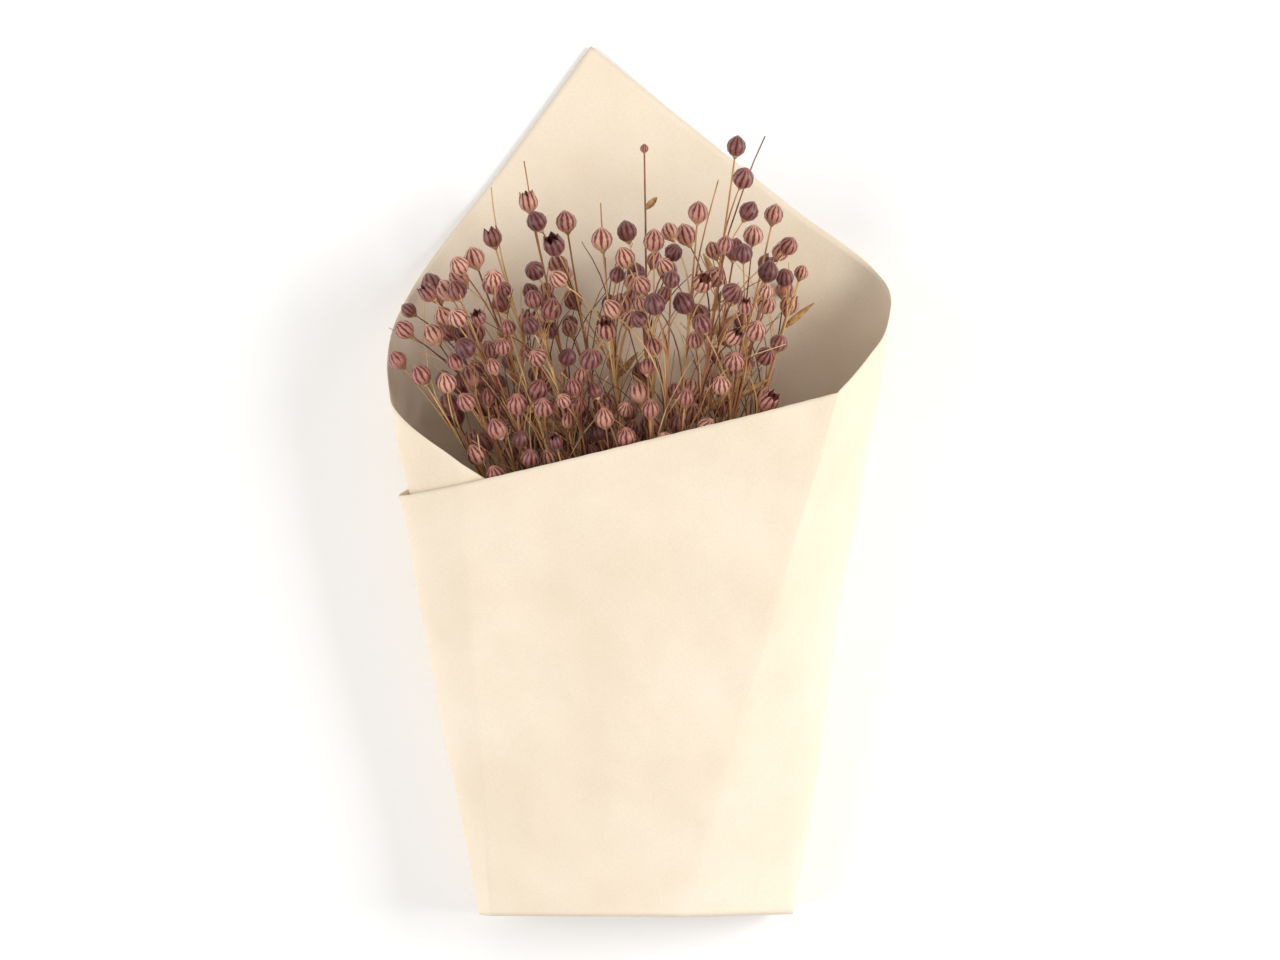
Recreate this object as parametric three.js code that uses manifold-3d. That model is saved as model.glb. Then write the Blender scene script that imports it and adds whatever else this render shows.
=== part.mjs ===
// A bundle of dried flax, rolled in a cornet of kraft paper and lying on its back.
//
// Millimetres. +X is across the bundle, +Y runs from the cut ends to the seed heads and +Z is up
// from the table that it lies on. The paper is one rectangular sheet. One of its corners stands up
// behind the seed heads, and its two sides come round to the front, the right one over the left.
// Each flax plant is one grown piece: a stem, the twigs that fork from it, and their seed capsules.
import * as THREE from "three";
import { mergeVertices } from "three/addons/utils/BufferGeometryUtils.js";
import Module from "manifold-3d";

const wasm = await Module();
wasm.setup();

// ---------------------------------------------------------------- driving dimensions
const CUT_Y = -203; // the trimmed end, where it lies on the table
const CUT_SLANT = 0.25; // the cut leans this much towards the heads, per millimetre up
const TIP_Y = 183; // the tip of the corner
const MOUTH_Y = 20; // where the section of the mouth is taken

// The section of the cornet at its two ends. "side" is how high the widest point stands off the
// table, "flat" is the part that lies on it, and a crown is where the front turns down to a side.
const CUT_END = {
  left: -69,
  right: 67,
  flatLeft: -40,
  flatRight: 54,
  sideLeft: 22,
  sideRight: 20,
  crownLeft: [-64, 38],
  crownRight: [14, 53],
};
const MOUTH = {
  left: -109,
  right: 100,
  flatLeft: -58,
  flatRight: 67,
  sideLeft: 42,
  sideRight: 22,
  crownLeft: [-77, 63],
  crownRight: [76, 82.5],
};
const CREASE = 0.45; // 1 turns the crowns smoothly, less leaves a crease along them
const FRONT_BOW = 7; // how far the front bows out between its crowns

// The flat sheet: its two sides meet at the corner that stands up.
const SHEET_RIGHT = 520; // side that goes round to the right and over the front
const SHEET_LEFT = 380; // side that goes round to the left and under the front
const CORNER_X = -21; // the corner's tip, across the bundle
const CORNER_TURN = 50.5; // degrees from the paper's ruling at the tip to its right side
const PAPER = 0.4; // thickness
const END_HEIGHT = 4; // the sheet's ends stop where they are this tall
const PAPER_ROWS = 8; // faces along the paper, from the trimmed end to its edges
const BENDS = [7, 6, 6, 7, 4, 7]; // faces round each of the section's six curves
const LEAST_BEND = 0.04; // two rulings are no closer than this

// How far inside the outer turn the sheet runs: [place round the section, millimetres].
const INSETS = [
  [1, 2],
  [2, 2.2],
  [3, 5],
  [3.8, 1.4],
  [4.25, 1.2],
  [4.6, 0],
];

// The bundle of stems.
const PLANTS = 54;
const STEM_RADIUS = 1.0;
const STEM_TOP_RADIUS = 0.7;
const TWIG_RADIUS = 0.5;
const TIE_Y = -120; // where the band holds the stems
const STEM_END_Y = -176; // the cut ends
const BUNDLE_X = 20; // half the bundle's width at the band
const BUNDLE_Z = 13; // half its height there
const CLEARANCE = 0.5; // least gap between two plants, or a plant and the paper
const STEM_AIR = 0.25; // a little more than the least gap, where the stems are bound
const STEM_SPACING = 2 * STEM_RADIUS + CLEARANCE + STEM_AIR; // between the middles of two stems at the band
const FAN_X = 38; // the smaller, the wider the stems fan out
const FAN_Z = 52;
const FAN_BELOW = 2.5; // how much less they fan below the band
const LEAN_X = -0.1; // the whole fan's lean, per millimetre above the band
const LEAN_Z = 0.16;
const LEAN_START = 40; // the lean builds up over this length

const BAND_CLEARANCE = 0.4;
const BAND_THICKNESS = 1.2;
const BAND_WIDTH = 6;
const TIE_X = 2;
const BAND_X = BUNDLE_X + STEM_RADIUS + BAND_CLEARANCE;
const BAND_Z = BUNDLE_Z + STEM_RADIUS + BAND_CLEARANCE;
const BAND_LIFT = 0.5; // gap between the band and the paper under it
const TIE_Z = PAPER + INSETS[4][1] + BAND_LIFT + BAND_THICKNESS + BAND_Z;

// The seed heads.
const CAPSULE_RADIUS = [3.2, 4.7];
const CAPSULE_TALL = 1.02; // height over width
// Rings of a capsule of radius 1: out from its axis, up it, and how far round one is turned, as
// a share of the way to the next corner. Turned rings make a capsule with few faces rounder.
const CAPSULE_PROFILE = [
  [0.86, 0.5, 0],
  [0.9, 1.3, 0.5],
  [0, 2, 0.5],
];
const BARE_PROFILE = [[0, 2, 0]]; // a bare tip only tapers off
const SIDES = 4; // corners round a stem or a capsule
const SMALLEST_EDGE = 0.03;
const TWIGS = [3, 7]; // how many may fork from one stem
const TWIG_LENGTH = [20, 64];
const TOP_REACH = [120, 222]; // from the band to the top of a plant
const BUNCH_LEFT = -0.6; // how far the heads go out to the left, per millimetre above the band
const BUNCH_RIGHT = 0.33;
const STEM_PARTS = 5; // points of a stem from the band to its top
const TWIG_PARTS = 2; // straight parts of a twig
const BEND = [10, 8]; // how far the top of a stem may be bent across and up
const TWIG_BACK = [0.5, 2.2]; // fork below the stem's top, as a share of the twig's length
const TWIG_AWAY = [0.16, 0.55]; // how far a twig's tip stands off its stem, as such a share
const TWIG_ALONG = 0.92; // and how far along the stem
const FORK_SLOPES = [3.8, 3, 5, 2.2, 1.6]; // ways tried to reach a head that is set
const STEM_TRIES = 20000;
const TWIG_TRIES = 80;
const BALL_STEP = 3; // spacing of the balls that stand for a stem in the gap tests
const NEAR_PART = 0.45; // share of a twig that may touch its own stem
const FORK_SPACING = 5; // least distance between two forks of a stem that follow each other
const SEED = 20;

// Plants that stand out of the bunch: the heads of each one, as X, Y, Z and the capsule's radius.
// The first head is the top of the stem and the others are on twigs. A radius of 0 is a bare tip.
const TALL_PLANTS = [
  [[40, 141, 50, 4.1], [42, 129, 57, 4.5], [44, 114, 44, 4.1], [53, 145, 40, 0]],
  [[56, 112, 40, 4.1], [47, 105, 62, 4.3], [61, 100, 48, 3.9]],
  [[68, 87, 34, 3.1]],
  [[53, 89, 56, 4.4], [52, 77, 66, 4.1], [43, 98, 72, 4]],
  [[24, 114, 62, 4.3], [33, 127, 52, 0], [25, 87, 66, 4.4], [36, 83, 70, 4.2]],
  [[2, 140, 46, 1.8]],
  [[6, 102, 58, 4.5], [-4.5, 105, 44, 4.3], [-4.5, 95, 56, 4.3]],
  [[-15.5, 102, 50, 4.6], [-16.5, 117, 42, 0]],
  [[-30.5, 109, 42, 4.4], [-41.5, 110, 46, 4.3]],
  [[-46.5, 117, 32, 4.3], [-49.5, 134, 24, 0]],
  [[-61.5, 102, 34, 4.2], [-63.5, 123, 26, 0]],
  [[-68.5, 94, 44, 4.4], [-61.5, 84, 54, 4.1]],
  [[-75.5, 81, 52, 4.2], [-74.5, 71, 58, 4.2]],
  [[-81.5, 69, 40, 4.2]],
  [[-90.5, 45, 48, 4.4], [-80.5, 42, 52, 4.2], [-100.5, 51, 42, 3.9]],
  [[-67.5, 11, 48, 4.4]],
  [[-58.5, 23, 56, 4.3]],
];

// ---------------------------------------------------------------- small tools
const lerp = (a, b, t) => a + (b - a) * t;
const rad = (degrees) => (degrees * Math.PI) / 180;
const smooth = (t) => t * t * (3 - 2 * t);

function dice(seed) {
  let state = seed >>> 0;
  return (low = 0, high = 1) => {
    state = (Math.imul(state, 1664525) + 1013904223) >>> 0;
    return low + ((high - low) * state) / 4294967296;
  };
}

// ---------------------------------------------------------------- the cornet's surface
// Six curves round the section, from the right side over the front to the left side and back
// along the table. A place round the section is a number: 0 is the right side, 1 and 2 the
// crowns, 3 the left side, 4 and 5 the ends of the flat, and 6 the right side again.
function sectionCurves(s) {
  const p = (x, z) => new THREE.Vector2(x, z);
  const crownRight = p(...s.crownRight);
  const crownLeft = p(...s.crownLeft);
  const bow = crownRight.clone().add(crownLeft).multiplyScalar(0.5);
  bow.y += FRONT_BOW;
  const right = p(s.right, s.sideRight);
  const left = p(s.left, s.sideLeft);
  const shoulderRight = p(s.right, lerp(s.sideRight, crownRight.y, CREASE));
  const shoulderLeft = p(s.left, lerp(s.sideLeft, crownLeft.y, CREASE));
  return [
    new THREE.QuadraticBezierCurve(right, shoulderRight, crownRight),
    new THREE.QuadraticBezierCurve(crownRight, bow, crownLeft),
    new THREE.QuadraticBezierCurve(crownLeft, shoulderLeft, left),
    new THREE.QuadraticBezierCurve(left, p(s.left, 0), p(s.flatLeft, 0)),
    new THREE.LineCurve(p(s.flatLeft, 0), p(s.flatRight, 0)),
    new THREE.QuadraticBezierCurve(p(s.flatRight, 0), p(s.right, 0), right),
  ];
}
const cutCurves = sectionCurves(CUT_END);
const mouthCurves = sectionCurves(MOUTH);

// The point at a place round the section, y along the bundle, on the outermost turn.
function onSection(place, y) {
  const turn = ((place % 6) + 6) % 6;
  const k = Math.floor(turn);
  const low = cutCurves[k].getPoint(turn - k);
  const high = mouthCurves[k].getPoint(turn - k);
  const f = (y - CUT_Y) / (MOUTH_Y - CUT_Y);
  return new THREE.Vector2(lerp(low.x, high.x, f), lerp(low.y, high.y, f));
}

function inwards(place, y) {
  const step = 0.01;
  const along = onSection(place + step, y).sub(onSection(place - step, y)).normalize();
  return new THREE.Vector2(-along.y, along.x);
}

function inset(place) {
  if (place <= INSETS[0][0]) return INSETS[0][1];
  for (let i = 1; i < INSETS.length; i++) {
    const [from, a] = INSETS[i - 1];
    const [to, b] = INSETS[i];
    if (place <= to) return lerp(a, b, smooth((place - from) / (to - from)));
  }
  return 0;
}

// A point of the sheet, "side" half thicknesses out of its middle.
function onSheet(place, y, side) {
  const p = onSection(place, y);
  const n = inwards(place, y);
  p.addScaledVector(n, inset(place) + (PAPER / 2) * (1 - side));
  return new THREE.Vector3(p.x, y, p.y);
}

// ---------------------------------------------------------------- the sheet's outline
// The cornet is nearly a cone, so a straight side of the sheet is found on it by unrolling the
// cone about its apex, where each ruling of the paper is a ray.
const widthGain = MOUTH.right - MOUTH.left - (CUT_END.right - CUT_END.left);
const apexShare = (CUT_END.right - CUT_END.left) / widthGain;
const APEX = new THREE.Vector3(
  CUT_END.left - (MOUTH.left - CUT_END.left) * apexShare,
  CUT_Y - (MOUTH_Y - CUT_Y) * apexShare,
  0,
);
const mouthRay = (place) => {
  const p = onSection(place, MOUTH_Y);
  return new THREE.Vector3(p.x, MOUTH_Y, p.y).sub(APEX);
};

const cornerShare = (TIP_Y - APEX.y) / (MOUTH_Y - APEX.y);
const cornerFlatX = APEX.x + (CORNER_X - APEX.x) / cornerShare;
const CORNER_PLACE =
  4 + (cornerFlatX - MOUTH.flatLeft) / (MOUTH.flatRight - MOUTH.flatLeft);
const CORNER_RAY = mouthRay(CORNER_PLACE).length() * cornerShare;

// The angle that the unrolled paper turns through from the corner's ruling to a place.
function unrolled(place) {
  const steps = 60;
  let angle = 0;
  let from = mouthRay(CORNER_PLACE).normalize();
  for (let i = 1; i <= steps; i++) {
    const to = mouthRay(lerp(CORNER_PLACE, place, i / steps)).normalize();
    angle += from.angleTo(to);
    from = to;
  }
  return angle;
}

// The lowest and highest y of the sheet along the ruling at a place.
function reach(place) {
  const toRight = place > CORNER_PLACE;
  const beta = rad(toRight ? CORNER_TURN : 90 - CORNER_TURN);
  const side = toRight ? SHEET_RIGHT : SHEET_LEFT;
  const theta = unrolled(place);
  const yAt = (ray) => {
    const share = ray / mouthRay(place).length();
    return lerp(APEX.y, MOUTH_Y, share);
  };
  let top = yAt((CORNER_RAY * Math.sin(beta)) / Math.sin(theta + beta));
  const foot = onSection(place, CUT_Y).y * CUT_SLANT;
  let low = CUT_Y + foot;
  const past = side - CORNER_RAY * Math.cos(beta);
  const end = yAt(past / -Math.cos(theta + beta));
  if (Math.cos(theta + beta) < 0) top = Math.min(top, end);
  else low = Math.max(low, end);
  return [low, top];
}

// Where the sheet runs out, going round from the corner in steps of "step".
function endPlace(step) {
  let place = CORNER_PLACE;
  for (;;) {
    const [low, top] = reach(place + step);
    if (top - low < END_HEIGHT) return place;
    place += step;
  }
}
const SHEET_START = endPlace(-0.02);
const SHEET_END = endPlace(0.02);

// The rulings at which the sheet is bent, closer together where it turns.
function rulings() {
  const found = [SHEET_START, CORNER_PLACE, SHEET_END];
  for (let k = Math.floor(SHEET_START); k < SHEET_END; k++) {
    const parts = BENDS[((k % 6) + 6) % 6];
    for (let i = 0; i < parts; i++) {
      const place = k + i / parts;
      if (found.every((f) => Math.abs(f - place) > LEAST_BEND)) found.push(place);
    }
  }
  return found
    .filter((f) => f >= SHEET_START && f <= SHEET_END)
    .sort((a, b) => a - b);
}

// Both faces of the sheet are cut along the same diagonals, so that they stay a thickness apart
// where the sheet twists.
function paperGeometry() {
  const places = rulings();
  const reaches = places.map(reach);
  const corners = [];
  for (const side of [1, -1]) {
    places.forEach((place, i) => {
      for (let j = 0; j <= PAPER_ROWS; j++) {
        const y = lerp(...reaches[i], j / PAPER_ROWS);
        corners.push(...onSheet(place, y, side).toArray());
      }
    });
  }
  const inner = corners.length / 6;
  const at = (i, j) => i * (PAPER_ROWS + 1) + j;
  const index = [];
  const rim = (p, q) => index.push(q, p, inner + p, q, inner + p, inner + q);
  const last = places.length - 1;
  for (let i = 0; i < last; i++) {
    for (let j = 0; j < PAPER_ROWS; j++) {
      const [a, b, c, d] = [at(i, j), at(i, j + 1), at(i + 1, j + 1), at(i + 1, j)];
      index.push(a, b, c, a, c, d);
      index.push(inner + a, inner + c, inner + b, inner + a, inner + d, inner + c);
    }
    rim(at(i + 1, 0), at(i, 0));
    rim(at(i, PAPER_ROWS), at(i + 1, PAPER_ROWS));
  }
  for (let j = 0; j < PAPER_ROWS; j++) {
    rim(at(0, j), at(0, j + 1));
    rim(at(last, j + 1), at(last, j));
  }
  return new THREE.BufferGeometry()
    .setAttribute("position", new THREE.Float32BufferAttribute(corners, 3))
    .setIndex(index);
}

// ---------------------------------------------------------------- the stems' paths
const spread = (up, fan) => Math.sqrt(1 + (up / (up < 0 ? fan * FAN_BELOW : fan)) ** 2);
const leaning = (up) => (up > 0 ? (up * up) / (up + LEAN_START) : 0);
const bending = (up) => (up > 0 ? (up / (TIP_Y - TIE_Y)) ** 2 : 0);

function stemPoint(plant, y) {
  const up = y - TIE_Y;
  return new THREE.Vector3(
    TIE_X + LEAN_X * leaning(up) + plant.x * spread(up, FAN_X) + plant.bendX * bending(up),
    y,
    TIE_Z + LEAN_Z * leaning(up) + plant.z * spread(up, FAN_Z) + plant.bendZ * bending(up),
  );
}

// ---------------------------------------------------------------- gap tests
// Everything that has grown, as balls: [x, y, z, radius, plant].
const grown = [];

function insidePaper(p, radius) {
  const room = radius + CLEARANCE + PAPER;
  let crossings = 0;
  const steps = 48;
  let a = onSection(0, p.y);
  for (let i = 1; i <= steps; i++) {
    const place = (6 * i) / steps;
    const b = onSection(place, p.y);
    const under = place > SHEET_START ? inset(place) : 0;
    const edge = b.clone().sub(a);
    const q = new THREE.Vector2(p.x, p.z).sub(a);
    const t = THREE.MathUtils.clamp(q.dot(edge) / edge.lengthSq(), 0, 1);
    if (q.distanceTo(edge.clone().multiplyScalar(t)) < room + under) return false;
    if (a.y > p.z !== b.y > p.z) {
      const x = a.x + ((p.z - a.y) * (b.x - a.x)) / (b.y - a.y);
      if (x > p.x) crossings += 1;
    }
    a = b;
  }
  return crossings % 2 === 1;
}

function clear(balls, plant) {
  return balls.every(([x, y, z, r]) =>
    grown.every(([gx, gy, gz, gr, other]) => {
      if (other === plant) return true;
      const least = r + gr + CLEARANCE;
      return (x - gx) ** 2 + (y - gy) ** 2 + (z - gz) ** 2 > least * least;
    }),
  );
}

// The bunch is no wider than this, and no longer than its longest plant.
function inBunch(tip) {
  const up = tip.y - TIE_Y;
  const out = tip.x - TIE_X;
  return out > BUNCH_LEFT * up && out < BUNCH_RIGHT * up && Math.hypot(up, out) < TOP_REACH[1];
}

const inPaper = (balls) =>
  balls.every(([x, y, z, r]) => insidePaper(new THREE.Vector3(x, y, z), r));

function ballsAlong(curve, radius, skip = 0) {
  const steps = Math.ceil(curve.getLength() / BALL_STEP);
  const balls = [];
  for (let i = skip; i <= steps; i++) {
    const p = curve.getPoint(i / steps);
    balls.push([p.x, p.y, p.z, radius]);
  }
  return balls;
}

// ---------------------------------------------------------------- growing the plants
// A stem or a twig runs straight from each of its points to the next.
class Stalk extends THREE.Curve {
  constructor(points) {
    super();
    this.points = points;
  }
  getPoint(t) {
    const last = this.points.length - 1;
    const i = Math.min(Math.floor(t * last), last - 1);
    return this.points[i].clone().lerp(this.points[i + 1], t * last - i);
  }
  getUtoTmapping(u) {
    return u;
  }
}

// A plant's stem from its cut end, through the band, to its top.
function stemCurve(plant) {
  const points = [stemPoint(plant, STEM_END_Y)];
  for (let i = 0; i < STEM_PARTS; i++) {
    points.push(stemPoint(plant, lerp(TIE_Y, plant.top, i / (STEM_PARTS - 1))));
  }
  return new Stalk(points);
}

function capsuleBalls(tip, along, radius) {
  const up = radius > 0 ? radius : 1;
  const c = tip.clone().addScaledVector(along, up * CAPSULE_TALL);
  return [[c.x, c.y, c.z, radius > 0 ? up * CAPSULE_TALL : TWIG_RADIUS]];
}

// The stem, if it clears the others, as its curve, its balls and the capsule on its top.
function tryStem(plant) {
  const curve = stemCurve(plant);
  const along = curve.getTangent(1);
  const balls = ballsAlong(curve, STEM_RADIUS);
  balls.push(...capsuleBalls(curve.getPoint(1), along, plant.radius));
  if (!clear(balls, plant.number)) return null;
  if (!inPaper(balls.filter((b) => b[1] > TIE_Y))) return null;
  return { curve, balls, along };
}

const roll = dice(SEED);
const plants = [];

function accept(plant, grownStem) {
  for (const ball of grownStem.balls) grown.push([...ball, plant.number]);
  plants.push({
    ...plant,
    curve: grownStem.curve,
    heads: [{ tip: grownStem.curve.getPoint(1), along: grownStem.along, radius: plant.radius }],
    twigs: [],
    near: ballsAlong(grownStem.curve, STEM_RADIUS),
    far: grownStem.balls.slice(grownStem.balls.length - 1),
  });
}

const farEnough = (x, z) =>
  Math.hypot(x / BUNDLE_X, z / BUNDLE_Z) <= 1 &&
  plants.every((p) => Math.hypot(p.x - x, p.z - z) >= STEM_SPACING);

// A twig leaves its stem along the stem and bends away to its tip.
function twigTo(plant, fork, tip) {
  const root = plant.curve.getPoint(fork);
  const reach = root.distanceTo(tip) / 2;
  const bend = root.clone().addScaledVector(plant.curve.getTangent(fork), reach);
  return new Stalk(new THREE.QuadraticBezierCurve3(root, bend, tip).getPoints(TWIG_PARTS));
}

// A twig is joined to its stem over its near part, and its far part clears the plant's others.
const touching = (balls, others) =>
  balls.some(([x, y, z, r]) =>
    others.some(([a, b, c, other]) => Math.hypot(x - a, y - b, z - c) < r + other),
  );

// Adds a twig and its capsule if they clear everything else.
function growTwig(plant, fork, tip, radius) {
  const curve = twigTo(plant, fork, tip);
  const along = curve.getTangent(1);
  const balls = ballsAlong(curve, TWIG_RADIUS, 1);
  const head = capsuleBalls(tip, along, radius);
  if (!inPaper([...balls, ...head]) || !clear([...balls, ...head], plant.number)) return false;
  const split = Math.ceil(balls.length * NEAR_PART);
  const near = balls.slice(0, split);
  const far = [...balls.slice(split), ...head];
  const forkGap = plant.curve.getLength() * Math.abs(fork - (plant.lastFork ?? -1));
  if (forkGap < FORK_SPACING || touching(near, plant.far)) return false;
  if (touching(far, [...plant.near, ...plant.far])) return false;
  for (const ball of [...balls, ...head]) grown.push([...ball, plant.number]);
  plant.near.push(...near);
  plant.far.push(...far);
  plant.lastFork = fork;
  plant.twigs.push(curve);
  plant.heads.push({ tip, along, radius });
  return true;
}

// The foot of a capsule whose middle is at a height.
const footOf = (y, radius) => y - radius * CAPSULE_TALL;

for (const heads of TALL_PLANTS) {
  const [x, y, z, radius] = heads[0];
  const top = footOf(y, radius);
  const up = top - TIE_Y;
  const plant = { number: plants.length, set: heads, top, radius, bendX: 0, bendZ: 0 };
  plant.x = (x - TIE_X - LEAN_X * leaning(up)) / spread(up, FAN_X);
  plant.z = (z - TIE_Z - LEAN_Z * leaning(up)) / spread(up, FAN_Z);
  const stem = farEnough(plant.x, plant.z) ? tryStem(plant) : null;
  if (stem) accept(plant, stem);
}

for (let tries = 0; plants.length < PLANTS && tries < STEM_TRIES; tries++) {
  const plant = { number: plants.length };
  plant.x = BUNDLE_X * roll(-1, 1);
  plant.z = BUNDLE_Z * roll(-1, 1);
  const reachUp = roll(...TOP_REACH);
  plant.bendX = roll(-BEND[0], BEND[0]);
  plant.bendZ = roll(-BEND[1], BEND[1]);
  plant.radius = roll(...CAPSULE_RADIUS);
  if (!farEnough(plant.x, plant.z)) continue;
  plant.top = TIE_Y + reachUp / Math.hypot(1, plant.x / FAN_X + LEAN_X);
  const stem = tryStem(plant);
  if (stem && inBunch(stem.curve.getPoint(1))) accept(plant, stem);
}

// The share of a stem's length at a height, found by halving.
function shareAt(plant, y) {
  let [low, high] = [0, 1];
  for (let i = 0; i < 20; i++) {
    const middle = (low + high) / 2;
    if (plant.curve.getPoint(middle).y < y) low = middle;
    else high = middle;
  }
  return low;
}

// Twigs of the tall plants, to the heads that are set for them.
for (const heads of TALL_PLANTS) {
  const plant = plants.find((p) => p.set === heads);
  if (!plant) continue;
  for (const [x, y, z, radius] of heads.slice(1)) {
    const tip = new THREE.Vector3(x, footOf(y, radius), z);
    const off = Math.hypot(x - plant.heads[0].tip.x, z - plant.heads[0].tip.z);
    const from = Math.min(tip.y, plant.top);
    FORK_SLOPES.some((slope) =>
      growTwig(plant, shareAt(plant, from - off * slope), tip, radius),
    );
  }
}

// And twigs at random: each forks near the top and bends away from its stem.
for (const plant of plants) {
  const wanted = Math.floor(roll(TWIGS[0], TWIGS[1] + 1));
  for (let tries = 0; plant.twigs.length < wanted && tries < TWIG_TRIES; tries++) {
    const length = roll(...TWIG_LENGTH);
    const fork = shareAt(plant, plant.top - length * roll(...TWIG_BACK));
    const turn = roll(0, 2 * Math.PI);
    const away = length * roll(...TWIG_AWAY);
    const radius = roll(...CAPSULE_RADIUS);
    const along = plant.curve.getTangent(fork);
    const side = new THREE.Vector3(Math.cos(turn), 0, Math.sin(turn)).cross(along).normalize();
    const tip = plant.curve.getPoint(fork).addScaledVector(along, length * TWIG_ALONG);
    tip.addScaledVector(side, away);
    if (inBunch(tip)) growTwig(plant, fork, tip, radius);
  }
}

// ---------------------------------------------------------------- solids
function manifoldOf(geometry) {
  const bare = geometry.clone();
  bare.deleteAttribute("normal");
  bare.deleteAttribute("uv");
  const merged = mergeVertices(bare, 1e-4);
  return new wasm.Manifold(
    new wasm.Mesh({
      numProp: 3,
      vertProperties: merged.attributes.position.array,
      triVerts: new Uint32Array(merged.index.array),
    }),
  );
}

function geometryOf(solid) {
  const mesh = solid.getMesh();
  return new THREE.BufferGeometry()
    .setAttribute("position", new THREE.BufferAttribute(mesh.vertProperties, 3))
    .setIndex(new THREE.BufferAttribute(mesh.triVerts, 1));
}

// A round body drawn along a row of rings, from a flat end to a point.
function drawnAlong(rings) {
  const last = rings.length - 1;
  const body = new THREE.ConeGeometry(1, 1, SIDES, last);
  const at = body.attributes.position;
  for (let i = 0; i < at.count; i++) {
    const k = last - Math.round((0.5 - at.getY(i)) * last);
    const { point, radius, turn } = rings[k];
    const before = rings[Math.max(k - 1, 0)].point;
    const along = rings[Math.min(k + 1, last)].point.clone().sub(before).normalize();
    const across = new THREE.Vector3(1, 0, 0).addScaledVector(along, -along.x).normalize();
    const up = across.clone().cross(along);
    const out = new THREE.Vector2(at.getX(i), at.getZ(i)).normalize().multiplyScalar(radius);
    out.rotateAround(new THREE.Vector2(), turn);
    const p = point.clone().addScaledVector(across, out.x).addScaledVector(up, out.y);
    at.setXYZ(i, p.x, p.y, p.z);
  }
  return manifoldOf(body);
}

// A capsule's rings, from the end of its twig: round, and drawn up to a short beak.
function capsuleRings({ tip, along, radius }) {
  const profile = radius > 0 ? CAPSULE_PROFILE : BARE_PROFILE;
  const size = radius > 0 ? radius : 1;
  return profile.map(([out, up, share]) => ({
    point: tip.clone().addScaledVector(along, up * size * CAPSULE_TALL),
    radius: out * size,
    turn: (share * 2 * Math.PI) / SIDES,
  }));
}

function plantGeometry(plant) {
  const steps = plant.curve.points.length - 1;
  const rings = plant.curve.points.map((point, i) => ({
    point,
    radius: lerp(STEM_RADIUS, STEM_TOP_RADIUS, i / steps),
    turn: 0,
  }));
  let solid = drawnAlong([...rings, ...capsuleRings(plant.heads[0])]);
  plant.twigs.forEach((twig, i) => {
    const row = twig.points.map((point) => ({ point, radius: TWIG_RADIUS, turn: 0 }));
    solid = solid.add(drawnAlong([...row, ...capsuleRings(plant.heads[i + 1])]));
  });
  return geometryOf(solid.simplify(SMALLEST_EDGE));
}

function bandGeometry() {
  const outline = (grow) => (path) =>
    path.absellipse(0, 0, BAND_X + grow, BAND_Z + grow, 0, 2 * Math.PI);
  const ring = new THREE.Shape();
  outline(BAND_THICKNESS)(ring);
  const hole = new THREE.Path();
  outline(0)(hole);
  ring.holes.push(hole);
  return new THREE.ExtrudeGeometry(ring, { depth: BAND_WIDTH, bevelEnabled: false, curveSegments: 16 })
    .rotateX(Math.PI / 2)
    .translate(TIE_X, TIE_Y + BAND_WIDTH / 2, TIE_Z);
}

// ---------------------------------------------------------------- materials and assembly
const kraftPaper = new THREE.MeshStandardMaterial({ color: 0xefdcc0, roughness: 0.85 });
const driedFlax = new THREE.MeshStandardMaterial({ color: 0x9a6a5c, roughness: 0.7 });
const bandRubber = new THREE.MeshStandardMaterial({ color: 0xb08a5a, roughness: 0.6 });

function named(name, geometry, material) {
  const mesh = new THREE.Mesh(geometry, material);
  mesh.name = name;
  return mesh;
}

const bundle = new THREE.Group();
bundle.add(named("paper_wrap", paperGeometry(), kraftPaper));
bundle.add(named("stem_band", bandGeometry(), bandRubber));
plants.forEach((plant, i) => {
  const number = String(i + 1).padStart(2, "0");
  bundle.add(named(`flax_plant_${number}`, plantGeometry(plant), driedFlax));
});

// The whole bundle is centred over the origin, and lies on the table.
const around = new THREE.Box3().setFromObject(bundle, true);
bundle.position.set(
  -(around.min.x + around.max.x) / 2,
  -(around.min.y + around.max.y) / 2,
  -around.min.z,
);

export default bundle;
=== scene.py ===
# %% [markdown]
# # A bundle of dried flax in a paper cornet
#
# Flax is cut when its seed heads are ripe, dried, gathered in the hand and held with a rubber
# band. A sheet of cream kraft paper is rolled round the bunch: its corner stands up behind the
# heads, and its two sides come round to the front, the right one over the left. The bundle lies
# on its back.
#
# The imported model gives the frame: one node for the paper, one for the band and one for each
# plant. Their shapes are plain, so each gets a finer piece here, in the same place. Lengths in
# the first half of this lesson are millimetres in the bundle's own frame, and `to_frame` brings
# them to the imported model's frame, which is in metres.

# %% Load the frame
import math

import bmesh
import bpy
import numpy as np
from mathutils import Matrix, Quaternion, Vector, noise


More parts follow.
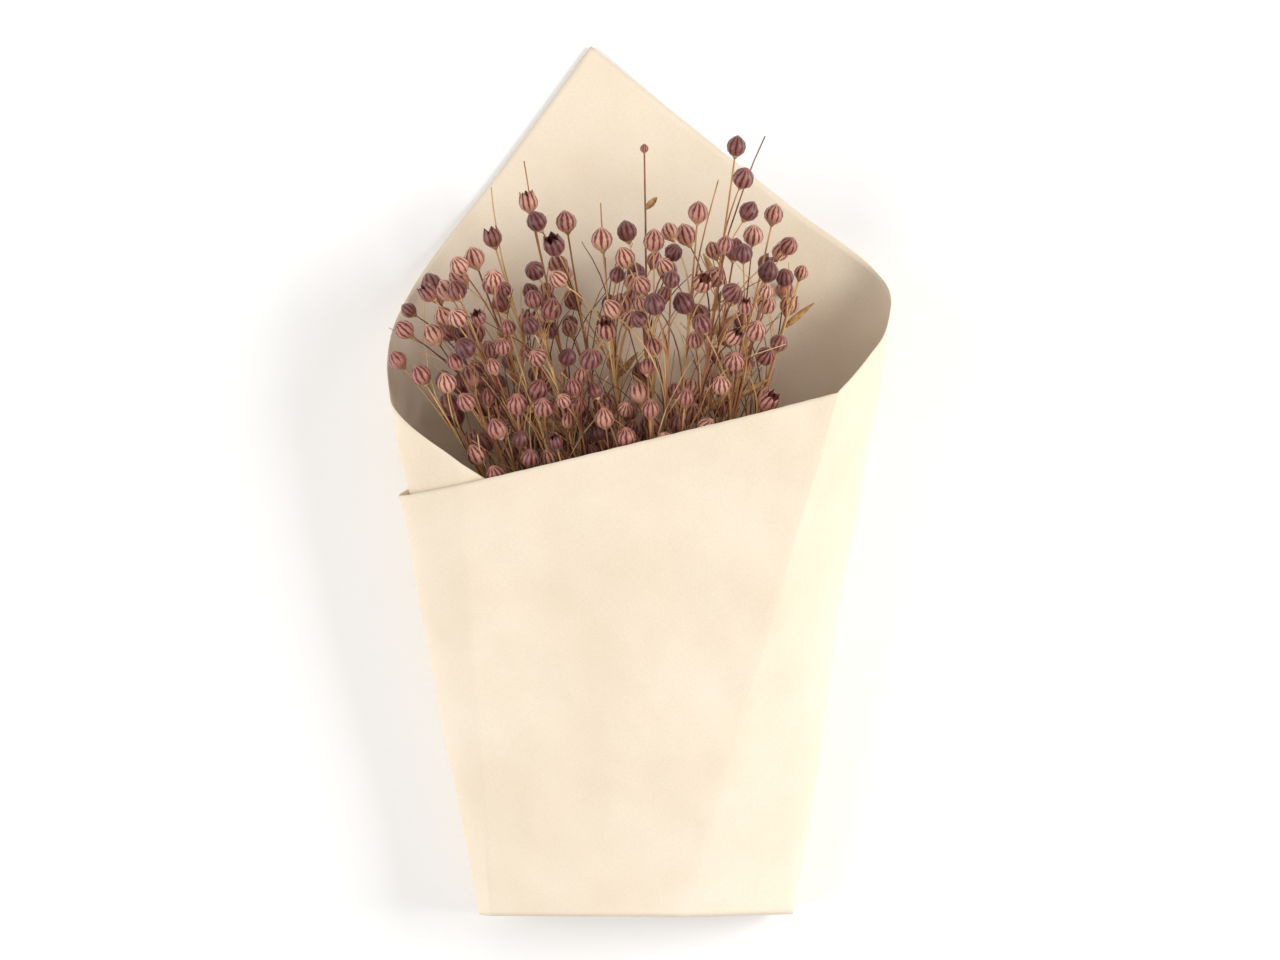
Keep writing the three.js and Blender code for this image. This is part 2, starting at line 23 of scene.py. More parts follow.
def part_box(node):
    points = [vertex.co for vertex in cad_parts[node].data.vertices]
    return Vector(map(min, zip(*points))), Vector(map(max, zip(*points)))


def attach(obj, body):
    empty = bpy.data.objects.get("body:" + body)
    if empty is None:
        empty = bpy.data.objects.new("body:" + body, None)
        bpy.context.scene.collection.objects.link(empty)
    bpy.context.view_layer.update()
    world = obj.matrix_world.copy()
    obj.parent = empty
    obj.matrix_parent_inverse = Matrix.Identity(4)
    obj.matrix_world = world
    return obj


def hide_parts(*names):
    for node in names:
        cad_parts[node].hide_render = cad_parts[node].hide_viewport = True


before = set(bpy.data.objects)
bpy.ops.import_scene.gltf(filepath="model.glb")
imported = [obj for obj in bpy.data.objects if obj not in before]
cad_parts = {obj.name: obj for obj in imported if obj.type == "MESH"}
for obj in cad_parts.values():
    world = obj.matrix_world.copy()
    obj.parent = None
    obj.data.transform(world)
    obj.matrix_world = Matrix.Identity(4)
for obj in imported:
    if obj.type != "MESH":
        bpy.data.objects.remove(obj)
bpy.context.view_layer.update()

plant_nodes = sorted(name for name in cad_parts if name.startswith("flax_plant"))

# %% [markdown]
# ## The cornet's surface
#
# Rolled paper bends only one way, so its surface is made of straight lines, its rulings, which
# all run from the trimmed end to the mouth. Two sections, one at each end, are enough to say
# where they lie. Each section is six curves: the right shoulder, the front, the left shoulder,
# the left turn, the flat back on the table and the right turn. A **place** is a number that
# counts them, from 0 at the right side, and it goes on past 6 where the paper laps over itself.

# %% The two sections
CUT_Y, CUT_SLANT = -203.0, 0.25
TIP_Y = 183.0
MOUTH_Y = 20.0
CREASE = 0.45
FRONT_BOW = 7.0
CUT_END = {
    "left": -69, "right": 67, "flat_left": -40, "flat_right": 54,
    "side_left": 22, "side_right": 20, "crown_left": (-64, 38), "crown_right": (14, 53),
}
MOUTH = {
    "left": -109, "right": 100, "flat_left": -58, "flat_right": 67,
    "side_left": 42, "side_right": 22, "crown_left": (-77, 63), "crown_right": (76, 82.5),
}


def lerp(a, b, t):
    return a + (b - a) * t


def section_curves(s):
    """Six curves round a section, each as its start, the point it bends towards and its end."""
    right, left = (s["right"], s["side_right"]), (s["left"], s["side_left"])
    crown_right, crown_left = s["crown_right"], s["crown_left"]
    bow = ((crown_right[0] + crown_left[0]) * 0.5, (crown_right[1] + crown_left[1]) * 0.5 + FRONT_BOW)
    shoulder_right = (s["right"], lerp(s["side_right"], crown_right[1], CREASE))
    shoulder_left = (s["left"], lerp(s["side_left"], crown_left[1], CREASE))
    flat_left, flat_right = (s["flat_left"], 0), (s["flat_right"], 0)
    middle = ((s["flat_left"] + s["flat_right"]) / 2, 0)
    return np.array([
        (right, shoulder_right, crown_right),
        (crown_right, bow, crown_left),
        (crown_left, shoulder_left, left),
        (left, (s["left"], 0), flat_left),
        (flat_left, middle, flat_right),
        (flat_right, (s["right"], 0), right),
    ], float)


CUT_CURVES, MOUTH_CURVES = section_curves(CUT_END), section_curves(MOUTH)


def on_section(place, y):
    """Across and up, at places round the section and heights y along the bundle."""
    place, y = np.broadcast_arrays(np.asarray(place, float), np.asarray(y, float))
    turn = place % 6
    k = np.minimum(turn.astype(int), 5)
    t = (turn - k)[..., None]

    def bent(curves):
        a, b, c = curves[k, 0], curves[k, 1], curves[k, 2]
        return (1 - t) * (1 - t) * a + 2 * (1 - t) * t * b + t * t * c

    return lerp(bent(CUT_CURVES), bent(MOUTH_CURVES), ((y - CUT_Y) / (MOUTH_Y - CUT_Y))[..., None])


def inwards(place, y, step=0.01):
    along = on_section(place + step, y) - on_section(place - step, y)
    along /= np.linalg.norm(along, axis=-1, keepdims=True)
    return np.stack([-along[..., 1], along[..., 0]], -1)


# How far inside the outer turn the sheet runs, so that its layers lie on each other.
INSETS = [(1, 2), (2, 2.2), (3, 5), (3.8, 1.4), (4.25, 1.2), (4.6, 0)]


def inset(place):
    place = np.asarray(place, float)
    depth = np.where(place <= INSETS[0][0], float(INSETS[0][1]), 0.0)
    for (start, a), (end, b) in zip(INSETS, INSETS[1:]):
        t = np.clip((place - start) / (end - start), 0, 1)
        depth = np.where((place > start) & (place <= end), lerp(a, b, t * t * (3 - 2 * t)), depth)
    return depth


print("the mouth is", MOUTH["right"] - MOUTH["left"], "mm wide")

# %% [markdown]
# ## Where the sheet ends
#
# The real sheet is a plain rectangle with straight sides. On the cornet they turn into long
# curves. They could be drawn by hand, but paper keeps its lengths when it is rolled, so the
# true curves come from **unrolling**: the cornet is nearly a cone, each ruling is a ray from its
# tip, and the angles between the rays add up to the flat sheet.

# %% Unroll the cornet
SHEET_RIGHT, SHEET_LEFT = 520.0, 380.0
CORNER_X = -21.0
CORNER_TURN = 50.5
END_HEIGHT = 4.0
END_STEP = 0.02
UNROLL_STEPS = 60

apex_share = (CUT_END["right"] - CUT_END["left"]) / (
    MOUTH["right"] - MOUTH["left"] - (CUT_END["right"] - CUT_END["left"]))
APEX = np.array([
    CUT_END["left"] - (MOUTH["left"] - CUT_END["left"]) * apex_share,
    CUT_Y - (MOUTH_Y - CUT_Y) * apex_share,
    0.0,
])


def mouth_ray(place):
    """From the cone's tip to the mouth's section, along the ruling at a place."""
    p = on_section(place, MOUTH_Y)
    return np.stack([p[..., 0], np.full(np.shape(place), MOUTH_Y), p[..., 1]], -1) - APEX


corner_share = (TIP_Y - APEX[1]) / (MOUTH_Y - APEX[1])
corner_flat_x = APEX[0] + (CORNER_X - APEX[0]) / corner_share
CORNER_PLACE = 4 + (corner_flat_x - MOUTH["flat_left"]) / (MOUTH["flat_right"] - MOUTH["flat_left"])
CORNER_RAY = np.linalg.norm(mouth_ray(CORNER_PLACE)) * corner_share


def unrolled(place):
    """The flat sheet's angle between the corner's ruling and the one at a place."""
    rays = mouth_ray(np.linspace(CORNER_PLACE, place, UNROLL_STEPS + 1))
    rays /= np.linalg.norm(rays, axis=1, keepdims=True)
    return float(np.arccos(np.clip((rays[1:] * rays[:-1]).sum(1), -1, 1)).sum())


def reach(place):
    """The lowest and highest y of the sheet along the ruling at a place."""
    to_right = place > CORNER_PLACE
    beta = math.radians(CORNER_TURN if to_right else 90 - CORNER_TURN)
    side = SHEET_RIGHT if to_right else SHEET_LEFT
    theta = unrolled(place)
    length = np.linalg.norm(mouth_ray(place))

    def y_at(ray):
        return lerp(APEX[1], MOUTH_Y, ray / length)

    top = y_at(CORNER_RAY * math.sin(beta) / math.sin(theta + beta))
    low = CUT_Y + on_section(place, CUT_Y)[1] * CUT_SLANT
    end = y_at((side - CORNER_RAY * math.cos(beta)) / -math.cos(theta + beta))
    return (low, min(top, end)) if math.cos(theta + beta) < 0 else (max(low, end), top)


def end_place(step):
    place = CORNER_PLACE
    while True:
        low, top = reach(place + step)
        if top - low < END_HEIGHT:
            return place
        place += step


SHEET_START, SHEET_END = end_place(-END_STEP), end_place(END_STEP)
print("the sheet runs from place", round(SHEET_START, 2), "to", round(SHEET_END, 2))

# %% [markdown]
# ## The bundle's own frame
#
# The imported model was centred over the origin. The rubber band is the one piece whose middle is
# known in both frames, so the step from one to the other is measured on it and not typed in.

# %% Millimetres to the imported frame
MM = 0.001
PAPER = 0.4
TIE_X, TIE_Y = 2.0, -120.0
BUNDLE_X, BUNDLE_Z = 20.0, 13.0
STEM_RADIUS = 1.0
BAND_CLEARANCE, BAND_THICKNESS, BAND_WIDTH, BAND_LIFT = 0.4, 1.2, 6.0, 0.5
BAND_X = BUNDLE_X + STEM_RADIUS + BAND_CLEARANCE
BAND_Z = BUNDLE_Z + STEM_RADIUS + BAND_CLEARANCE
TIE_Z = PAPER + INSETS[4][1] + BAND_LIFT + BAND_THICKNESS + BAND_Z

band_low, band_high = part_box("stem_band")
OFFSET = (Vector(band_low) + Vector(band_high)) / 2 - Vector((TIE_X, TIE_Y, TIE_Z)) * MM


def to_frame(p):
    return Vector(p) * MM + OFFSET


print("offset", [round(v, 5) for v in OFFSET])

# %% [markdown]
# ## Growing the plants again
#
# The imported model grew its 54 plants by dice that always fall the same way: a stem or a twig is
# kept if it stays clear of every other plant and of the paper. To give each plant node its fine
# twin in the same place, the same dice are thrown here in the same order. The plants could be
# read back from the node's triangles instead, but then the line of each stem would have to be
# guessed. First come the dice and the stems' common shape: a hyperbola that is narrow at the
# band and fans out above it.

# %% Dice and stems
PLANTS = 54
TWIG_RADIUS = 0.5
STEM_END_Y = -176.0
STEM_SPACING = 2.75
FAN_X, FAN_Z, FAN_BELOW = 38.0, 52.0, 2.5
LEAN_X, LEAN_Z, LEAN_START = -0.1, 0.16, 40.0
BEND_X, BEND_Z = 10.0, 8.0
STEM_PARTS = 5
CAPSULE_RADIUS = (3.2, 4.7)
CAPSULE_TALL = 1.02
SEED = 20


def dice(seed):
    """A row of even random numbers that is the same in any language."""
    state = seed

    def roll(low=0.0, high=1.0):
        nonlocal state
        state = (state * 1664525 + 1013904223) % 4294967296
        return low + (high - low) * state / 4294967296

    return roll


def spread(up, fan):
    return math.sqrt(1 + (up / (fan * FAN_BELOW if up < 0 else fan)) ** 2)


def leaning(up):
    return up * up / (up + LEAN_START) if up > 0 else 0.0


def bending(up):
    return (up / (TIP_Y - TIE_Y)) ** 2 if up > 0 else 0.0


def stem_point(plant, y):
    up = y - TIE_Y
    return np.array([
        TIE_X + LEAN_X * leaning(up) + plant["x"] * spread(up, FAN_X) + plant["bend_x"] * bending(up),
        y,
        TIE_Z + LEAN_Z * leaning(up) + plant["z"] * spread(up, FAN_Z) + plant["bend_z"] * bending(up),
    ])


class Stalk:
    """Straight from each of its points to the next."""

    def __init__(self, points):
        self.points = [np.asarray(p, float) for p in points]

    def at(self, t):
        last = len(self.points) - 1
        i = min(math.floor(t * last), last - 1)
        return lerp(self.points[i], self.points[i + 1], t * last - i)

    def along(self, t, step=0.0001):
        way = self.at(min(t + step, 1)) - self.at(max(t - step, 0))
        return way / np.linalg.norm(way)

    def length(self):
        return sum(float(np.linalg.norm(b - a)) for a, b in zip(self.points, self.points[1:]))


def stem_stalk(plant):
    heights = [lerp(TIE_Y, plant["top"], i / (STEM_PARTS - 1)) for i in range(STEM_PARTS)]
    return Stalk([stem_point(plant, y) for y in [STEM_END_Y, *heights]])


# %% [markdown]
# The gap tests: everything that has grown is a row of balls, each with its middle, its radius
# and its plant's number. numpy measures a new row against all of them at once.

# %% Gap tests
CLEARANCE = 0.5
BALL_STEP = 3.0
TOP_REACH = (120.0, 222.0)
BUNCH_LEFT, BUNCH_RIGHT = -0.6, 0.33
WALL_STEPS = 48

wall_places = 6 * np.arange(WALL_STEPS + 1) / WALL_STEPS
wall_low, wall_high = on_section(wall_places, CUT_Y), on_section(wall_places, MOUTH_Y)
wall_inset = np.where(wall_places[1:] > SHEET_START, inset(wall_places[1:]), 0.0)
grown = np.zeros((0, 5))


def inside_paper(balls):
    balls = np.asarray(balls)
    x, z = balls[:, 0, None], balls[:, 2, None]
    share = ((balls[:, 1] - CUT_Y) / (MOUTH_Y - CUT_Y))[:, None, None]
    wall = lerp(wall_low, wall_high, share)
    a, edge = wall[:, :-1], wall[:, 1:] - wall[:, :-1]
    q = balls[:, None, [0, 2]] - a
    t = np.clip((q * edge).sum(-1) / (edge * edge).sum(-1), 0, 1)
    gap = np.linalg.norm(q - edge * t[..., None], axis=-1)
    clear_of_wall = (gap >= (balls[:, 3] + CLEARANCE + PAPER)[:, None] + wall_inset).all(1)
    across = (a[..., 1] > z) != (a[..., 1] + edge[..., 1] > z)
    rise = np.where(across, edge[..., 1], 1.0)
    hits = across & (a[..., 0] + (z - a[..., 1]) * edge[..., 0] / rise > x)
    return bool((clear_of_wall & (hits.sum(1) % 2 == 1)).all())


def clear_of_others(balls, number):
    balls = np.asarray(balls)
    others = grown[grown[:, 4] != number]
    away = ((balls[:, None, :3] - others[None, :, :3]) ** 2).sum(-1)
    least = balls[:, None, 3] + others[None, :, 3] + CLEARANCE
    return bool((away > least * least).all())


def touching(balls, others):
    balls, others = np.asarray(balls), np.asarray(others)
    away = np.linalg.norm(balls[:, None, :3] - others[None, :, :3], axis=-1)
    return bool((away < balls[:, None, 3] + others[None, :, 3]).any())


def in_bunch(tip):
    up, out = tip[1] - TIE_Y, tip[0] - TIE_X
    return BUNCH_LEFT * up < out < BUNCH_RIGHT * up and math.hypot(up, out) < TOP_REACH[1]


def balls_along(stalk, radius, skip=0):
    steps = math.ceil(stalk.length() / BALL_STEP)
    return [[*stalk.at(i / steps), radius] for i in range(skip, steps + 1)]


def head_ball(tip, along, radius):
    up = radius if radius > 0 else 1.0
    return [[*(tip + along * up * CAPSULE_TALL), up * CAPSULE_TALL if radius > 0 else TWIG_RADIUS]]


# %% [markdown]
# The plants that stand out of the bunch are listed one by one: the heads of each one as across,
# along and up, and the capsule's radius. The first is the top of the stem, the others are on
# twigs, and a radius of 0 is a bare tip. The rest of the bunch is left to the dice.

# %% Stems
TALL_PLANTS = [
    [(40, 141, 50, 4.1), (42, 129, 57, 4.5), (44, 114, 44, 4.1), (53, 145, 40, 0)],
    [(56, 112, 40, 4.1), (47, 105, 62, 4.3), (61, 100, 48, 3.9)],
    [(68, 87, 34, 3.1)],
    [(53, 89, 56, 4.4), (52, 77, 66, 4.1), (43, 98, 72, 4)],
    [(24, 114, 62, 4.3), (33, 127, 52, 0), (25, 87, 66, 4.4), (36, 83, 70, 4.2)],
    [(2, 140, 46, 1.8)],
    [(6, 102, 58, 4.5), (-4.5, 105, 44, 4.3), (-4.5, 95, 56, 4.3)],
    [(-15.5, 102, 50, 4.6), (-16.5, 117, 42, 0)],
    [(-30.5, 109, 42, 4.4), (-41.5, 110, 46, 4.3)],
    [(-46.5, 117, 32, 4.3), (-49.5, 134, 24, 0)],
    [(-61.5, 102, 34, 4.2), (-63.5, 123, 26, 0)],
    [(-68.5, 94, 44, 4.4), (-61.5, 84, 54, 4.1)],
    [(-75.5, 81, 52, 4.2), (-74.5, 71, 58, 4.2)],
    [(-81.5, 69, 40, 4.2)],
    [(-90.5, 45, 48, 4.4), (-80.5, 42, 52, 4.2), (-100.5, 51, 42, 3.9)],
    [(-67.5, 11, 48, 4.4)],
    [(-58.5, 23, 56, 4.3)],
]
STEM_TRIES = 20000

plants = []


def foot_of(y, radius):
    """The foot of a capsule whose middle is at a height."""
    return y - radius * CAPSULE_TALL


def has_room(x, z):
    return math.hypot(x / BUNDLE_X, z / BUNDLE_Z) <= 1 and all(
        math.hypot(p["x"] - x, p["z"] - z) >= STEM_SPACING for p in plants)


def try_stem(plant):
    """Keeps the plant if its stem and top head are clear, and says whether it did."""
    global grown
    stalk = stem_stalk(plant)
    tip, along = stalk.at(1), stalk.along(1)
    balls = balls_along(stalk, STEM_RADIUS)
    head = head_ball(tip, along, plant["radius"])
    every = balls + head
    if not clear_of_others(every, plant["number"]):
        return False
    if not inside_paper([b for b in every if b[1] > TIE_Y]):
        return False
    if "heads_set" not in plant and not in_bunch(tip):
        return False
    grown = np.vstack([grown, [[*b, plant["number"]] for b in every]])
    plant.update(
        stalk=stalk, twigs=[], near=balls, far=head, last_fork=-1.0,
        heads=[{"tip": tip, "along": along, "radius": plant["radius"]}])
    plants.append(plant)
    return True


for heads in TALL_PLANTS:
    x, y, z, radius = heads[0]
    top = foot_of(y, radius)
    up = top - TIE_Y
    plant = {"number": len(plants), "heads_set": heads, "top": top, "radius": radius,
             "bend_x": 0.0, "bend_z": 0.0}
    plant["x"] = (x - TIE_X - LEAN_X * leaning(up)) / spread(up, FAN_X)
    plant["z"] = (z - TIE_Z - LEAN_Z * leaning(up)) / spread(up, FAN_Z)
    if has_room(plant["x"], plant["z"]):
        try_stem(plant)

roll = dice(SEED)
for attempt in range(STEM_TRIES):
    if len(plants) == PLANTS:
        break
    plant = {"number": len(plants), "x": BUNDLE_X * roll(-1, 1), "z": BUNDLE_Z * roll(-1, 1)}
    reach_up = roll(*TOP_REACH)
    plant["bend_x"], plant["bend_z"] = roll(-BEND_X, BEND_X), roll(-BEND_Z, BEND_Z)
    plant["radius"] = roll(*CAPSULE_RADIUS)
    if has_room(plant["x"], plant["z"]):
        plant["top"] = TIE_Y + reach_up / math.hypot(1, plant["x"] / FAN_X + LEAN_X)
        try_stem(plant)
print(len(plants), "stems")

# %% [markdown]
# A twig leaves its stem along the stem and bends away to its own head. Its near part may touch
# the stem that it grows from, and its far part has to clear the plant's other twigs.

# %% Twigs
TWIGS = (3, 7)
TWIG_LENGTH = (20.0, 64.0)
TWIG_BACK = (0.5, 2.2)
TWIG_AWAY = (0.16, 0.55)
TWIG_ALONG = 0.92
TWIG_TRIES = 80
NEAR_PART = 0.45
FORK_SPACING = 5.0
FORK_SLOPES = (3.8, 3, 5, 2.2, 1.6)
HALVINGS = 20


def share_at(plant, y):
    """The share of a stem's length at a height, found by halving."""
    low, high = 0.0, 1.0
    for _ in range(HALVINGS):
        middle = (low + high) / 2
        if plant["stalk"].at(middle)[1] < y:
            low = middle
        else:
            high = middle
    return low


def grow_twig(plant, fork, tip, radius):
    global grown
    root = plant["stalk"].at(fork)
    bend = root + plant["stalk"].along(fork) * (np.linalg.norm(root - tip) / 2)
    stalk = Stalk([root, 0.25 * root + 0.5 * bend + 0.25 * tip, tip])
    along = stalk.along(1)
    balls = balls_along(stalk, TWIG_RADIUS, 1)
    head = head_ball(tip, along, radius)
    if not inside_paper(balls + head) or not clear_of_others(balls + head, plant["number"]):
        return False
    split = math.ceil(len(balls) * NEAR_PART)
    near, far = balls[:split], balls[split:] + head
    fork_gap = plant["stalk"].length() * abs(fork - plant["last_fork"])
    if fork_gap < FORK_SPACING or touching(near, plant["far"]):
        return False
    if touching(far, plant["near"] + plant["far"]):
        return False
    grown = np.vstack([grown, [[*b, plant["number"]] for b in balls + head]])
    plant["near"] = plant["near"] + near
    plant["far"] = plant["far"] + far
    plant["last_fork"] = fork
    plant["twigs"].append({"root": root, "bend": bend, "tip": tip})
    plant["heads"].append({"tip": tip, "along": along, "radius": radius})
    return True


for plant in plants:
    for x, y, z, radius in plant.get("heads_set", [])[1:]:
        tip = np.array([x, foot_of(y, radius), z])
        first = plant["heads"][0]["tip"]
        off = math.hypot(x - first[0], z - first[2])
        start = min(tip[1], plant["top"])
        any(grow_twig(plant, share_at(plant, start - off * slope), tip, radius) for slope in FORK_SLOPES)

for plant in plants:
    wanted = math.floor(roll(TWIGS[0], TWIGS[1] + 1))
    for attempt in range(TWIG_TRIES):
        if len(plant["twigs"]) >= wanted:
            break
        length = roll(*TWIG_LENGTH)
        fork = share_at(plant, plant["top"] - length * roll(*TWIG_BACK))
        turn = roll(0, 2 * math.pi)
        away = length * roll(*TWIG_AWAY)
        radius = roll(*CAPSULE_RADIUS)
        along = plant["stalk"].along(fork)
        side = np.cross([math.cos(turn), 0, math.sin(turn)], along)
        side /= np.linalg.norm(side)
        tip = plant["stalk"].at(fork) + along * (length * TWIG_ALONG) + side * away
        if in_bunch(tip):
            grow_twig(plant, fork, tip, radius)
print(sum(len(p["heads"]) for p in plants), "heads")

# %% [markdown]
# ## Small tools for materials
#
# Every finish here is made of nodes. The two helpers below keep the recipes short: one adds a
# node with its settings, and the other starts a material with its Principled shader.

# %% Node helpers
def add_node(tree, kind, links=None, **values):
    """Adds a node, sets its settings and inputs, and links sockets given by input name."""
    node = tree.nodes.new(kind)
    for name, value in values.items():
        setattr(node, name, value)
    for name, value in (links or {}).items():
        socket = node.inputs[name]
        if isinstance(value, bpy.types.NodeSocket):
            tree.links.new(value, socket)
        else:
            socket.default_value = value
    return node


def new_material(name, roughness):
    material = bpy.data.materials.new(name)
    material.use_nodes = True
    shader = material.node_tree.nodes["Principled BSDF"]
    shader.inputs["Roughness"].default_value = roughness
    return material, material.node_tree, shader


def colour(red, green, blue):
    """A colour as it is seen on a screen, 0 to 255, as the linear one that a shader needs."""
    def linear(v):
        v /= 255
        return v / 12.92 if v <= 0.04045 else ((v + 0.055) / 1.055) ** 2.4
    return (linear(red), linear(green), linear(blue), 1.0)


def ramp(tree, factor, stops):
    """A colour ramp from a list of (position, colour)."""
    node = add_node(tree, "ShaderNodeValToRGB", {"Fac": factor})
    while len(node.color_ramp.elements) < len(stops):
        node.color_ramp.elements.new(0.5)
    for element, (position, tint) in zip(node.color_ramp.elements, stops):
        element.position, element.color = position, tint
    return node.outputs["Color"]


def blend_colours(tree, factor, a, b, how="MIX"):
    node = add_node(tree, "ShaderNodeMix", data_type="RGBA", blend_type=how)
    for socket, value in zip((node.inputs[0], node.inputs[6], node.inputs[7]), (factor, a, b)):
        if isinstance(value, bpy.types.NodeSocket):
            tree.links.new(value, socket)
        else:
            socket.default_value = value
    return node.outputs[2]


def maths(tree, how, a, b=0.0, clamp=False):
    node = add_node(tree, "ShaderNodeMath", operation=how, use_clamp=clamp)
    for socket, value in zip(node.inputs, (a, b)):
        if isinstance(value, bpy.types.NodeSocket):
            tree.links.new(value, socket)
        else:
            socket.default_value = value
    return node.outputs[0]


# %% [markdown]
# Dried plants and raw paper share two things: their colour is **mottled**, in soft patches of
# lighter and darker, and their surface is a fine mesh of **fibres**. Each of the two is a node
# group, made once here and placed in every material that needs it with its own sizes.

# %% Mottle and fibre groups
def new_group(name, inputs, outputs):
    group = bpy.data.node_groups.new(name, "ShaderNodeTree")
    for label, kind, start in inputs:
        socket = group.interface.new_socket(label, in_out="INPUT", socket_type=kind)
        if start is not None:
            socket.default_value = start
    for label, kind in outputs:
        group.interface.new_socket(label, in_out="OUTPUT", socket_type=kind)
    return group, group.nodes.new("NodeGroupInput").outputs, group.nodes.new("NodeGroupOutput").inputs


def make_mottle():
    """Soft patches: 0.5 is the mean, and Contrast says how far they go from it."""
    group, given, out = new_group(
        "Mottle",
        [("Vector", "NodeSocketVector", None), ("Scale", "NodeSocketFloat", 50.0),
         ("Contrast", "NodeSocketFloat", 1.0)],
        [("Patches", "NodeSocketFloat")])
    broad = add_node(group, "ShaderNodeTexNoise", {
        "Vector": given["Vector"], "Scale": given["Scale"], "Detail": 4.0, "Roughness": 0.55})
    centred = maths(group, "SUBTRACT", broad.outputs["Fac"], 0.5)
    group.links.new(
        maths(group, "ADD", maths(group, "MULTIPLY", centred, given["Contrast"]), 0.5, clamp=True),
        out["Patches"])
    return group


def make_fibres():
    """Fine fibres that run along Y of the given vector: a height for a Bump node."""
    group, given, out = new_group(
        "Fibres",
        [("Vector", "NodeSocketVector", None), ("Scale", "NodeSocketFloat", 1000.0),
         ("Length", "NodeSocketFloat", 6.0)],
        [("Height", "NodeSocketFloat")])
    along = maths(group, "DIVIDE", 1.0, given["Length"])
    stretch = add_node(group, "ShaderNodeCombineXYZ", {"X": 1.0, "Y": along, "Z": 1.0})
    squeezed = add_node(group, "ShaderNodeVectorMath", operation="MULTIPLY")
    group.links.new(given["Vector"], squeezed.inputs[0])
    group.links.new(stretch.outputs[0], squeezed.inputs[1])
    fine = add_node(group, "ShaderNodeTexNoise", {
        "Vector": squeezed.outputs[0], "Scale": given["Scale"], "Detail": 3.0, "Roughness": 0.6})
    group.links.new(fine.outputs["Fac"], out["Height"])
    return group


MOTTLE, FIBRES = make_mottle(), make_fibres()


def use_group(tree, group, links):
    node = add_node(tree, "ShaderNodeGroup", node_tree=group)
    for name, value in links.items():
        if isinstance(value, bpy.types.NodeSocket):
            tree.links.new(value, node.inputs[name])
        else:
            node.inputs[name].default_value = value
    return node


print("node groups", [g.name for g in bpy.data.node_groups])

# %% [markdown]
# ## Finishes of the dried plants
#
# A dry stalk is straw-gold where it was thick and green, and goes brown to purple-brown near
# the heads. Each vertex of a stalk carries a number, `tone`, from 0 for straw to 1 for purple,
# so one material serves every stalk and a ramp turns the number into a colour. Patches along
# the stalk shift it a little, and long fibres give it a fine ribbed look.

# %% Stalk material
def make_stalk_material():
    material, tree, shader = new_material("Dry stalk", 0.62)
    where = add_node(tree, "ShaderNodeTexCoord").outputs["Object"]
    tone = add_node(tree, "ShaderNodeAttribute", attribute_name="tone").outputs["Fac"]
    patches = use_group(tree, MOTTLE, {"Vector": where, "Scale": 90.0, "Contrast": 1.2})
    shift = maths(tree, "MULTIPLY", maths(tree, "SUBTRACT", patches.outputs[0], 0.5), 0.55)
    base = ramp(tree, maths(tree, "ADD", tone, shift, clamp=True), [
        (0.0, colour(240, 206, 150)),
        (0.3, colour(222, 178, 122)),
        (0.55, colour(184, 128, 88)),
        (0.8, colour(128, 78, 60)),
        (1.0, colour(84, 46, 44)),
    ])
    tree.links.new(base, shader.inputs["Base Color"])
    fibres = use_group(tree, FIBRES, {"Vector": where, "Scale": 2600.0, "Length": 14.0})
    bump = add_node(tree, "ShaderNodeBump", {
        "Strength": 0.35, "Distance": 0.0002, "Height": fibres.outputs[0]})
    tree.links.new(bump.outputs[0], shader.inputs["Normal"])
    shader.inputs["Specular IOR Level"].default_value = 0.35
    return material


stalk_material = make_stalk_material()

# %% [markdown]
# A flax capsule is a round pod of five cells, each split in two, so ten darker streaks run from
# its beak towards its foot. The streaks could be laid with an image, but they follow the pod
# exactly, so its own UV map is enough: u goes round it and v goes up. A wave of u gives ten
# stripes, noise bends their edges, and v fades them towards the foot. `tone` again says how
# dark the whole pod has gone, from pale pink-beige to nearly all purple.

# %% Capsule material
STREAKS = 10


